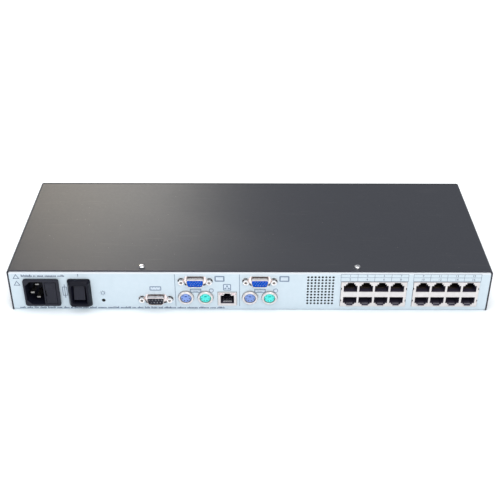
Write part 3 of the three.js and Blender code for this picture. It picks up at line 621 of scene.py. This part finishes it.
def cut(names, cutter):
    """Cuts CAD nodes by a hidden cutter, with a modifier that comes after their soft edges."""
    for name in names:
        boolean = NODES[name].modifiers.new(cutter.name, "BOOLEAN")
        boolean.object = cutter
        boolean.operation = "DIFFERENCE"
        boolean.solver = "EXACT"


def place_of(name):
    """A CAD node's middle in millimetres, with y from the panel's outer face."""
    low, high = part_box(name)
    middle = (low + high) / 2
    return middle.x / MM, (middle.y - PANEL_Y) / MM, middle.z / MM


def span_of(name):
    """A CAD node's limits in millimetres: x, y and z, with y from the panel's outer face."""
    low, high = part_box(name)
    rows = list(zip((low.x, low.y - PANEL_Y, low.z), (high.x, high.y - PANEL_Y, high.z)))
    return [(a / MM, b / MM) for a, b in rows]


# -------- print on the socket panel

# The print reaches from just proud of the panel to just inside it.
INK = (-0.03, 0.02)
LIGHT_INK = (-0.02, 0.02)
LINE = 0.32
MARKS_HEIGHT = 36.9


def outline_ring(build, middle, half, radius, width=0.95):
    """A printed rounded frame."""
    inner = (half[0] - width, half[1] - width)
    build.frame(rounded(middle, half, radius), rounded(middle, inner, max(radius - width, 0.1)), INK)


def print_blocks(build, middle, blocks):
    """Printed blocks, each given by its limits across and up from a middle."""
    for across, up in blocks:
        x = (middle[0] + across[0], middle[0] + across[1])
        z = (middle[1] + up[0], middle[1] + up[1])
        build.box(x, INK, z)


def block(across, up, half_across, half_up):
    """One row for print_blocks, given by its own middle and half sizes."""
    return (across - half_across, across + half_across), (up - half_up, up + half_up)


def greeked_line(build, x, z, height):
    """A line of small marks that stands for text and spells nothing."""
    widths = (0.55, 0.8, 0.95)
    heights = (0.62, 0.62, 0.66, 1.0)
    gap, space = 0.34, 1.15
    here = x[0]
    while here < x[1]:
        for _ in range(random.randint(2, 9)):
            wide = random.choice(widths)
            tall = height * random.choice(heights)
            build.box((here, here + wide), INK, (z, z + tall))
            here += wide + gap
        here += space


def print_text_lines():
    """The rating line over the inlet and the long line along the panel's lower edge."""
    (left, right), _, (_, top) = span_of("inlet_housing")
    rating = Build()
    greeked_line(rating, (left - 1, right + 3.5), top + 1.9, 2.3)
    rating.piece("rating_print", "dark_ink", "panel_paint")
    notice = Build()
    greeked_line(notice, (left - 6.2, -27.5), 1.8, 1.85)
    notice.piece("notice_print", "dark_ink", "panel_paint")


def print_power_marks():
    """Plain triangles, the fuse symbol, the bar over the switch and the lamp's sun."""
    (left, right), _, _ = span_of("inlet_housing")
    marks = Build()
    for height in (MARKS_HEIGHT, 29.6):
        middle = (left - 5.6, height - 0.9)
        outer, inner = [circle(middle, radius, 3, math.pi / 2) for radius in (3.5, 2.2)]
        marks.frame(outer, inner, INK)
    fuse = (right + 4.4, place_of("inlet_housing")[2] + 0.6)
    marks.frame(rectangle(fuse, (2.2, 4.85)), rectangle(fuse, (1.6, 4.25)), INK)
    print_blocks(marks, fuse, [block(0, 0, 0.3, 7.4)])
    switch = place_of("switch_housing")[0]
    marks.box((switch - 0.45, switch + 0.15), INK, (MARKS_HEIGHT, MARKS_HEIGHT + 2.8))
    lamp = place_of("power_led")
    sun = (lamp[0] - 0.1, lamp[2] + 8.1)
    marks.frame(circle(sun, 1.75), circle(sun, 1.2), INK)
    rays, ray_reach = 8, 2.45
    for ray in range(rays):
        way = math.tau * ray / rays
        middle = (sun[0] + ray_reach * math.cos(way), sun[1] + ray_reach * math.sin(way))
        marks.prism(rotated(rectangle(middle, (0.42, 0.16)), middle, way), INK)
    marks.piece("power_marks_print", "ink", "panel_paint")


def keyboard_picture(dark, pale, middle):
    """A frame with two rows of keys and a long one."""
    outline_ring(dark, middle, (5.2, 2.15), 0.7)
    pale.prism(rounded(middle, (4.7, 1.65), 0.3), LIGHT_INK)
    keys = [block(key, row, 0.32, 0.22) for row in (0.75, -0.05) for key in spaced(7, 1.15)]
    print_blocks(dark, middle, keys + [((-2.2, 2.2), (-1.1, -0.72))])


def mouse_picture(dark, pale, middle):
    """A round body with two buttons."""
    dark.frame(rounded(middle, (2.15, 2.3), 2.0), rounded(middle, (1.45, 1.6), 1.35), INK)
    pale.prism(rounded(middle, (1.47, 1.62), 1.35), LIGHT_INK)
    print_blocks(dark, middle, [((-1.4, 1.4), (0.45, 0.7)), ((-0.13, 0.13), (0.7, 1.6))])


def screen_picture(dark, pale, middle):
    """A heavy frame round a pale screen."""
    outline_ring(dark, middle, (4.5, 3.1), 0.9, 1.3)
    pale.prism(rounded(middle, (3.25, 1.85), 0.3), LIGHT_INK)


def serial_picture(dark, pale, middle):
    """A frame with two rows of long and short marks."""
    outline_ring(dark, middle, (5.3, 2.4), 0.9)
    pale.prism(rounded(middle, (4.8, 1.9), 0.4), LIGHT_INK)
    for line, row in enumerate((-0.8, 0.8)):
        for mark, across in enumerate(spaced(7, 1.25)):
            wide = 0.14 if (mark + line) % 2 else 0.36
            print_blocks(dark, middle, [block(across, row, wide, 0.42)])


def network_picture(dark, pale, middle):
    """One computer joined to two others."""
    outline_ring(dark, middle, (3.6, 3.6), 1.0)
    pale.prism(rounded(middle, (3.1, 3.1), 0.5), LIGHT_INK)
    print_blocks(dark, middle, [
        ((-1.0, 1.0), (0.5, 2.1)), ((-0.16, 0.16), (-0.1, 0.6)), ((-1.6, 1.6), (-0.4, -0.1))])
    for side in (-1, 1):
        computer = (middle[0] + side * 1.45, middle[1])
        print_blocks(dark, computer, [((-0.95, 0.95), (-2.1, -0.7)), ((-0.16, 0.16), (-0.75, -0.4))])


def print_console_marks():
    """The two dividers and the pictures over the serial, console and network sockets."""
    dark, pale = Build(), Build()
    for letter in "ab":
        console = place_of(f"console_body_{letter}")[0]
        dark.box((console - 18.5, console - 17.95), INK, (4.3, 39.4))
        keyboard_picture(dark, pale, (console + 0.1, 21.6))
        mouse_picture(dark, pale, (console + 14.2, 21.9))
        screen_picture(dark, pale, (console + 21.8, 34.7))
    serial_picture(dark, pale, (place_of("serial_shell")[0], 24.0))
    network_picture(dark, pale, (place_of("lan_jack_shield")[0] - 0.1, 25.4))
    dark.piece("console_marks_print", "pale_ink", "panel_paint")
    pale.piece("console_fields_print", "screen_ink", "panel_paint")


def number_mesh(text, middle, size):
    """A number as a thin mesh standing on the panel, in millimetres."""
    curve = bpy.data.curves.new("number", "FONT")
    curve.body = text
    curve.size = size
    curve.extrude = (INK[1] - INK[0]) / 2
    curve.align_x = "CENTER"
    curve.align_y = "CENTER"
    curve.resolution_u = 3
    holder = bpy.data.objects.new("number", curve)
    bpy.context.scene.collection.objects.link(holder)
    bpy.context.view_layer.update()
    mesh = bpy.data.meshes.new_from_object(holder)
    bpy.data.objects.remove(holder)
    bpy.data.curves.remove(curve)
    stand = Matrix.Rotation(math.pi / 2, 4, "X")
    mesh.transform(Matrix.Translation((middle[0], (INK[0] + INK[1]) / 2, middle[1])) @ stand)
    return mesh


def print_port_tables():
    """A ruled table over each port block, with the ports' numbers in it."""
    columns, pitch, half = 4, 15.05, 30.1
    bottom, ruled, top = 32.05, 36.3, 39.9
    lines, numbers = Build(), Build()
    for block_number, letter in enumerate("ab"):
        middle = place_of(f"port_block_{letter}_shield")[0]
        for height in (bottom, ruled, top):
            lines.box((middle - half, middle + half), INK, (height - LINE / 2, height + LINE / 2))
        for x in spaced(columns + 1, pitch, middle):
            lines.box((x - LINE / 2, x + LINE / 2), INK, (bottom, top))
        for column, x in enumerate(spaced(columns, pitch, middle)):
            for row, height in enumerate((38.1, 34.2)):
                number = str((block_number * columns + column) * 2 + row + 1)
                mesh = number_mesh(number, (x + 0.8, height), 3.1)
                numbers.bm.from_mesh(mesh)
                bpy.data.meshes.remove(mesh)
    lines.piece("port_table_print", "ink", "panel_paint")
    numbers.piece("port_numbers_print", "dark_ink", "panel_paint")


# -------- sockets

VENT_PITCH = 3.2


def round_vents():
    """Opens the panel's vent holes out to true rounds."""
    vents = Build()
    for x in spaced(8, VENT_PITCH, 63.45):
        for z in spaced(10, VENT_PITCH, 22.2):
            vents.prism(circle((x, z), 1.06, 16), (-1, SHEET / MM + 1))
    cut(["base_pan"], vents.cutter("vent_cutter"))


# The port jacks: the pitch across, the contact sides of the two rows' mouths and the mouths' height.
JACK_PITCH = 13.97
UPPER_SILL = 21.2
LOWER_SILL = 15.5
JACK_BODY = 6.7
CHANNEL_REACH = (-1, 11)
LAN_LAMP_SHIFT = 5.7


def stepped(x, low, levels, halves):
    """A latch channel's outline: a wide step and a narrow one over it."""
    wide, narrow = halves
    step, roof = levels
    right = [(x + wide, low), (x + wide, step), (x + narrow, step), (x + narrow, roof)]
    left = [(2 * x - across, up) for across, up in reversed(right)]
    return right + left


def jack_contacts(build, x, sill, direction, start):
    """Eight sprung wires that rise from a jack's sill, a start behind the panel, towards its back."""
    path = [
        (start, -0.1), (start + 0.1, 0.5), (start + 0.6, 0.9), (start + 3.6, 2.1),
        (11, 3.7), (13.2, 3.9)]
    bent = [(y, sill + direction * rise) for y, rise in path]
    for middle in spaced(8, 1.02, x):
        build.strip(bent, 0.3, (middle - 0.24, middle + 0.24))


def jack_comb(build, x, level):
    """The toothed strip in a jack's latch channel."""
    for middle in spaced(6, 0.95, x):
        build.box((middle - 0.3, middle + 0.3), (0.15, 0.9), (level, level + 0.7))


def fill_port_blocks():
    """Contacts, latch channels and combs of the sixteen port jacks."""
    channels = Build()
    slots = Build()
    floor, ceiling = LOWER_SILL - JACK_BODY, UPPER_SILL + JACK_BODY
    for letter in "ab":
        contacts, combs = Build(), Build()
        shield = f"port_block_{letter}_shield"
        for x in spaced(4, JACK_PITCH, place_of(shield)[0]):
            jack_contacts(contacts, x, UPPER_SILL, 1, 5)
            jack_contacts(contacts, x, LOWER_SILL, -1, 5)
            jack_comb(combs, x, 7.4)
            upper_channel = stepped(x, ceiling - 0.1, (ceiling + 1.7, 30.85), (4.3, 2.9))
            channels.prism(upper_channel, CHANNEL_REACH)
            channels.box((x - 4.3, x + 4.3), CHANNEL_REACH, (7.35, floor + 0.1))
        contacts.piece(f"port_block_{letter}_contacts", "contact_metal", "nickel")
        combs.piece(f"port_block_{letter}_combs", "comb_plastic", "black_plastic", edge=0.05)
        for edge in span_of(shield)[0]:
            for height in (24.5, 11.6):
                slots.prism(rounded((edge, height), (0.75, 1.1), 0.3), (-2, 4))
    cut(["port_block_a_housing", "port_block_b_housing"], channels.cutter("latch_channel_cutter"))
    cut(["port_block_a_shield", "port_block_b_shield"], slots.cutter("shield_slot_cutter"))


def fill_lan_jack():
    """Contacts, latch channel and the two lamp windows of the network jack."""
    x = place_of("lan_jack_shield")[0]
    contacts = Build()
    jack_contacts(contacts, x, 8.0, 1, 1.4)
    contacts.piece("lan_jack_contacts", "screw_steel", "nickel")
    channel = Build()
    channel.prism(stepped(x, 16.5, (18.3, 19.0), (3.3, 2.5)), CHANNEL_REACH)
    cut(["lan_jack_housing"], channel.cutter("lan_channel_cutter"))
    for side, name in ((-1, "link"), (1, "activity")):
        window = rounded((x + side * LAN_LAMP_SHIFT, 18.25), (1.5, 0.68), 0.25)
        lamp = Build().prism(window, (-0.7, 0.2))
        lamp.piece(f"lan_{name}_lamp", "lamp_window", "led_lens", edge=0.12)


# The faces of the D connectors: (pins, shift across) from the top row down, the pitch along a row,
# the drop between rows and the holes' radius.
VGA_PINS = {"rows": ((5, 0.55), (5, -0.55), (5, 0.55)), "pitch": 2.29, "drop": 1.9, "radius": 0.5}
SERIAL_PINS = {"rows": ((5, 0.0), (4, 0.0)), "pitch": 2.76, "drop": 2.84, "radius": 0.56}
D_FACE = -4.3


def d_contacts(name, shell, insulator, pins):
    """Pin holes in a D connector's face, with a contact sleeve in each."""
    x, _, z = place_of(shell)
    rows, radius = pins["rows"], pins["radius"]
    holes, contacts = Build(), Build()
    for (count, shift), height in zip(rows, spaced(len(rows), -pins["drop"], z)):
        for across in spaced(count, pins["pitch"], x):
            middle = (across + shift, height)
            outer, inner = circle(middle, radius - 0.04, 12), circle(middle, radius * 0.5, 12)
            holes.prism(circle(middle, radius, 14), (D_FACE - 1, D_FACE + 3))
            contacts.frame(outer, inner, (D_FACE + 0.35, D_FACE + 2.9))
    cut([insulator], holes.cutter(f"{name}_hole_cutter"))
    contacts.piece(f"{name}_contacts", "screw_steel", "nickel")


def fill_d_connectors():
    """Pin holes and contacts of the two screen sockets and the serial one."""
    for letter in "ab":
        d_contacts(f"vga_{letter}", f"vga_shell_{letter}", f"vga_insulator_{letter}", VGA_PINS)
    d_contacts("serial", "serial_shell", "serial_insulator", SERIAL_PINS)


def fill_round_sockets():
    """Pin holes and contacts of the keyboard and mouse sockets."""
    right = ((1.3, -2.9), (3.35, -0.9), (2.6, 2.3))
    pins = [(side * across, up) for across, up in right for side in (-1, 1)]
    for letter in "ab":
        for use in ("keyboard", "mouse"):
            name = f"{use}_insert_{letter}"
            x, _, z = place_of(name)
            face = span_of(name)[1][0]
            holes, contacts = Build(), Build()
            for across, up in pins:
                middle = (x + across, z + up)
                outer, inner = circle(middle, 0.48, 12), circle(middle, 0.26, 12)
                holes.prism(circle(middle, 0.52, 14), (face - 1, face + 4))
                contacts.frame(outer, inner, (face + 0.5, face + 3.9))
            cut([name], holes.cutter(f"{name}_hole_cutter"))
            contacts.piece(f"{use}_contacts_{letter}", "gold", "nickel")


def cross(middle, reach=1.55, half=0.34):
    """A cross outline."""
    quarter = [(reach, -half), (reach, half), (half, half)]
    return [
        rotated([(middle[0] + a, middle[1] + b)], middle, math.pi / 2 * turn)[0]
        for turn in range(4) for a, b in quarter]


def cross_screws():
    """Cross recesses in the cover's and the sides' screw heads."""
    crosses = Build()
    for side, name in ((-1, "left"), (1, "right")):
        x, y, _ = place_of(f"cover_screw_{name}")
        top = span_of(f"cover_screw_{name}")[2][1]
        turned = rotated(cross((x, y)), (x, y), math.radians(24 + 17 * side))
        crosses.prism(turned, (top - 0.95, top + 1), axis="z")
        for place in ("rear", "front"):
            screw = f"side_screw_{name}_{place}"
            _, y, z = place_of(screw)
            face = span_of(screw)[0][0 if side < 0 else 1]
            crosses.prism(cross((y, z)), sorted((face - side * 1.1, face + side)), axis="x")
    names = [name for name in NODES if name.startswith(("cover_screw", "side_screw"))]
    cut(names, crosses.cutter("cross_cutter"))


# Before and above the rocker's pivot: its upper face and the crease where its two faces meet.
ROCKER_FACE = 3.73
ROCKER_CREASE = 0.66
ROCKER_BEND = math.radians(20)
ROCKER_MARK = (-0.06, 0.1)
MARK_FROM_CREASE = 3.4


def rocker_marks():
    """The bar over the rocker's crease and the ring under it; both tilt with the rocker."""
    joint = next(row for row in frame["record"]["behaviour"]["joints"] if row["name"] == "rocker_tilt")
    _, pivot_y, pivot_z = joint["pos_m"]
    face = (pivot_y - PANEL_Y) / MM - ROCKER_FACE
    crease = pivot_z / MM + ROCKER_CREASE
    x = place_of("power_rocker")[0]
    bar_outline = rounded((x, crease + MARK_FROM_CREASE), (0.3, 1.5), 0.15)
    bar = Build().prism(bar_outline, (face + ROCKER_MARK[0], face + ROCKER_MARK[1]))
    bar.piece("rocker_bar_mark", "mark_grey", "black_plastic", body="rocker")
    ring = Build().frame(circle((0, 0), 1.6, 28), circle((0, 0), 1.1, 28), ROCKER_MARK)
    slope = Matrix.Rotation(-ROCKER_BEND, 4, "X")
    forward = math.sin(ROCKER_BEND) * MARK_FROM_CREASE
    down = math.cos(ROCKER_BEND) * MARK_FROM_CREASE
    lower = Vector((x, face - forward, crease - down))
    for vertex in ring.bm.verts:
        vertex.co = slope @ vertex.co + lower
    ring.piece("rocker_ring_mark", "mark_grey", "black_plastic", body="rocker")


# -------- inside the case

# Board places are in millimetres: across, then back from the socket panel.
PORT_CHIP_ROWS = (36, 50)
LONG_CHIPS = ((20, 100), (42, 100), (64, 100))
SMALL_CHIPS = ((-70, 44), (-48, 46), (-26, 44), (6, 46), (28, 44))
SQUARE_CHIPS = ((-60, 80), (0, 78), (128, 84), (168, 84))
MAIN_CANS = (
    (-88, 62, 4, 11), (-78, 62, 4, 11), (-86, 76, 5, 12), (-30, 66, 3.1, 7), (42, 70, 3.1, 7),
    (108, 70, 3.1, 7), (148, 70, 3.1, 7), (190, 70, 4, 9), (200, 108, 4, 9))
HEADERS = ((-10, 110), (170, 108))
CRYSTALS = ((-38, 82), (22, 80), (146, 86))
OUTPUT_CANS = ((-128, 84, 5, 20), (-116, 84, 5, 20), (-128, 98, 5, 20), (-116, 98, 4, 12))
PIN_PITCH = 2.54
BOARD_INSET = 5
EARTH_STUD = (-208, 26.5)
FOOTPRINTS = []


def claim(x, y):
    """Notes a board area as taken, so that the scattered small parts keep off it."""
    FOOTPRINTS.append((x[0] - 2, x[1] + 2, y[0] - 2, y[1] + 2))


def chip(build, x, y, z, half, height, pins):
    """A chip body with gull-wing legs on its two long sides."""
    claim((x - half[0] - 1, x + half[0] + 1), (y - half[1] - 1, y + half[1] + 1))
    build.box((x - half[0], x + half[0]), (y - half[1], y + half[1]), (z + 0.25, z + height))
    for side in (-1, 1):
        for middle in spaced(pins, 2 * half[0] / pins, x):
            reach = sorted((y + side * half[1], y + side * (half[1] + 1.1)))
            build.box((middle - 0.2, middle + 0.2), reach, (z + 0.02, z + 0.3))


def can(build, x, y, z, radius, height):
    """An electrolytic capacitor's can, with its rolled groove."""
    claim((x - radius, x + radius), (y - radius, y + radius))
    profile = [
        (radius - 0.3, z), (radius, z + 0.3), (radius, z + height * 0.12),
        (radius - 0.35, z + height * 0.16), (radius, z + height * 0.2),
        (radius, z + height - 0.4), (radius - 0.4, z + height)]
    build.turned(profile, (x, y))


def square_chip(build, x, y, z):
    """A large chip with legs on all four sides."""
    half, legs = 10, 26
    chip(build, x, y, z, (half, half), 1.6, legs)
    for side in (-1, 1):
        for middle in spaced(legs, 0.76, y):
            reach = sorted((x + side * half, x + side * (half + 1.1)))
            build.box(reach, (middle - 0.17, middle + 0.17), (z + 0.02, z + 0.3))


def main_board_chips(top, processor):
    """Two small chips behind each pair of ports, and larger ones over the rest of the board."""
    chips = Build()
    for letter in "ab":
        for x in spaced(4, 14, place_of(f"port_block_{letter}_shield")[0]):
            for y in PORT_CHIP_ROWS:
                chip(chips, x, y, top, (4.9, 1.95), 1.7, 8)
    for x, y in LONG_CHIPS:
        chip(chips, x, y, top, (9.2, 4), 1.2, 22)
    for x, y in SMALL_CHIPS:
        chip(chips, x, y, top, (5.2, 3.8), 2.3, 10)
    for x, y in SQUARE_CHIPS:
        square_chip(chips, x, y, top)
    x, y = processor
    chips.box((x - 15, x + 15), (y - 15, y + 15), (top + 0.2, top + 2.3))
    chips.piece("main_board_chips", "chip_epoxy", "black_plastic", edge=0.08)


def main_board_headers(top):
    """Plug housings and two pin headers with two rows of pins."""
    headers = Build()
    headers.box((-97, -87), (105, 112), (top, top + 6.5))
    headers.box((-98, -92), (17, 24), (top, top + 5.5))
    for x, y in HEADERS:
        headers.box((x - 13, x + 13), (y - 2.6, y + 2.6), (top, top + 2.5))
    headers.piece("main_board_headers", "header_plastic", "panel_paint", edge=0.2)
    pins = Build()
    for middle, y in HEADERS:
        for x in spaced(10, PIN_PITCH, middle):
            for row in (y - PIN_PITCH / 2, y + PIN_PITCH / 2):
                pins.box((x - 0.32, x + 0.32), (row - 0.32, row + 0.32), (top + 2.4, top + 8.4))
    pins.piece("main_board_header_pins", "gold", "nickel", edge=0.1)


def scatter_passives(x_span, y_span, top):
    """Tiny resistors and capacitors wherever the board is free."""
    passives = Build()
    for _ in range(220):
        x = random.uniform(x_span[0] + 6, x_span[1] - 6)
        y = random.uniform(28, y_span[1] - 6)
        half = random.choice(((0.9, 0.6), (0.6, 0.9), (1.5, 0.8)))
        if any(a < x < b and c < y < d for a, b, c, d in FOOTPRINTS):
            continue
        passives.box((x - half[0], x + half[0]), (y - half[1], y + half[1]), (top + 0.01, top + 0.55))
    passives.piece("main_board_passives", "ceramic", "black_plastic")


def main_board_parts():
    """Chips, cans, connectors, crystals and scattered small parts on the main board."""
    x_span, y_span, (_, top) = span_of("main_board")
    processor = place_of("processor_heatsink")[:2]
    main_board_chips(top, processor)
    cans = Build()
    for x, y, radius, height in MAIN_CANS:
        can(cans, x, y, top, radius, height)
    cans.piece("main_board_capacitors", "sleeve", "sleeve")
    main_board_headers(top)
    crystals = Build()
    for place in CRYSTALS:
        crystals.prism(rounded(place, (5.2, 2.2), 2.1), (top + 0.2, top + 3.6), axis="z")
    crystals.piece("main_board_crystals", "screw_steel", "nickel", edge=0.35)
    claim((x_span[0], x_span[0] + 12), y_span)
    claim((processor[0] - 17, processor[0] + 17), (processor[1] - 17, processor[1] + 17))
    for x, y in HEADERS:
        claim((x - 14, x + 14), (y - 4, y + 4))
    scatter_passives(x_span, y_span, top)


def power_board_parts():
    """The small parts of the mains supply."""
    top = span_of("power_board")[2][1]
    films = Build()
    films.box((-188, -170), (44, 51), (top, top + 13))
    films.box((-166, -154), (44, 50), (top, top + 10))
    films.piece("power_film_capacitors", "film_yellow", "wire_brown", edge=0.7)
    cans = Build()
    for x, y, radius, height in OUTPUT_CANS:
        can(cans, x, y, top, radius, height)
    cans.piece("power_output_capacitors", "sleeve", "sleeve")
    blocks = Build()
    blocks.box((-141, -127), (42, 50), (top, top + 1.7))
    blocks.box((-123, -112), (118, 126), (top, top + 1.9))
    blocks.box((-150, -140), (54, 60), (top, top + 9))
    blocks.piece("power_connectors", "header_plastic", "panel_paint", edge=0.3)
    transistors = Build()
    x = span_of("power_heatsink")[0][1]
    for y in (92, 108, 121):
        transistors.box((x + 0.1, x + 4.6), (y - 5, y + 5), (top + 3, top + 13))
        for leg in (y - PIN_PITCH, y, y + PIN_PITCH):
            transistors.box((x + 1.9, x + 2.5), (leg - 0.35, leg + 0.35), (top, top + 3.1))
    transistors.piece("power_transistors", "chip_epoxy", "black_plastic", edge=0.15)


def inset_pair(limits):
    """A board's two screw lines, an inset in from its edges."""
    return [limits[0] + BOARD_INSET, limits[1] - BOARD_INSET]


def standoffs():
    """Riveted pillars under both boards, with a screw in each; their rivets show underneath."""
    pillars, screws = Build(), Build()
    main, power = span_of("main_board"), span_of("power_board")
    main_back = main[1][1] - BOARD_INSET
    middle = (main[0][0] + main[0][1]) / 2
    layouts = (
        (main, inset_pair(main[0]) + [middle], [30, main_back]),
        (power, inset_pair(power[0]), inset_pair(power[1])))
    for (_, _, (low, top)), across, rows in layouts:
        for x in across:
            for y in rows:
                pillars.turned([(2.6, -0.02), (2.6, 0.5), (2.3, 0.5), (2.3, low)], (x, y), sides=12)
                screws.turned([(2.7, top), (2.7, top + 0.9), (1.9, top + 1.7)], (x, y))
    pillars.piece("board_standoffs", "screw_steel", "screw_steel", edge=0.06)
    screws.piece("board_screws", "screw_steel", "screw_steel", edge=0.1)


def crimp_sleeves():
    """Insulated crimps on the inlet's pins, each narrowing towards its wire."""
    sleeves = Build()
    for pin in ("inlet_line_pin", "inlet_neutral_pin", "inlet_earth_pin"):
        x, _, z = place_of(pin)
        end = span_of(pin)[1][1]
        profile = (((2.9, 1.7), -6.5), ((2.9, 1.7), 0.4), ((1.9, 1.6), 2.2), ((1.7, 1.5), 4.4))
        sleeves.stack([(rounded((x, z), half, 0.8), end + along) for half, along in profile])
    sleeves.piece("inlet_crimp_sleeves", "sleeve_red", "wire_red", edge=0.2)


def switch_tabs():
    """The six flat tabs on the switch's back."""
    tabs = Build()
    x, _, z = place_of("switch_housing")
    back = span_of("switch_housing")[1][1]
    for middle in (x - 4.25, x + 4.25):
        for height in (z - 6.1, z, z + 6.1):
            z_limits = (height - 0.4, height + 0.4)
            tabs.box((middle - 2.4, middle + 2.4), (back - 0.1, back + 6.5), z_limits)
    tabs.piece("switch_tabs", "nickel", "nickel", edge=0.12)


def earth_terminal():
    """The stud in the pan's floor, its nut, and the ring lug on it."""
    x, y = EARTH_STUD
    stud = Build()
    stud.turned([(1.9, 1.1), (1.9, 7.2), (1.5, 7.6)], EARTH_STUD)
    stud.prism(circle(EARTH_STUD, 3.9, 6), (1.6, 3.9), axis="z")
    stud.piece("earth_stud", "screw_steel", "screw_steel", edge=0.15)
    lug = Build()
    lug.frame(circle(EARTH_STUD, 4.2, 24), circle(EARTH_STUD, 2.0, 24), (4.0, 4.7), axis="z")
    lug.box((x - 1.6, x + 1.6), (y + 3.6, y + 7), (3.9, 4.8))
    lug.piece("earth_lug", "nickel", "nickel", edge=0.1)


make_camera()
make_floor()
make_lights()
LOOKS = make_materials()
dress_nodes()
round_vents()
cross_screws()
fill_port_blocks()
fill_lan_jack()
fill_d_connectors()
fill_round_sockets()
rocker_marks()
print_text_lines()
print_power_marks()
print_console_marks()
print_port_tables()
main_board_parts()
power_board_parts()
standoffs()
crimp_sleeves()
switch_tabs()
earth_terminal()

bpy.context.view_layer.update()
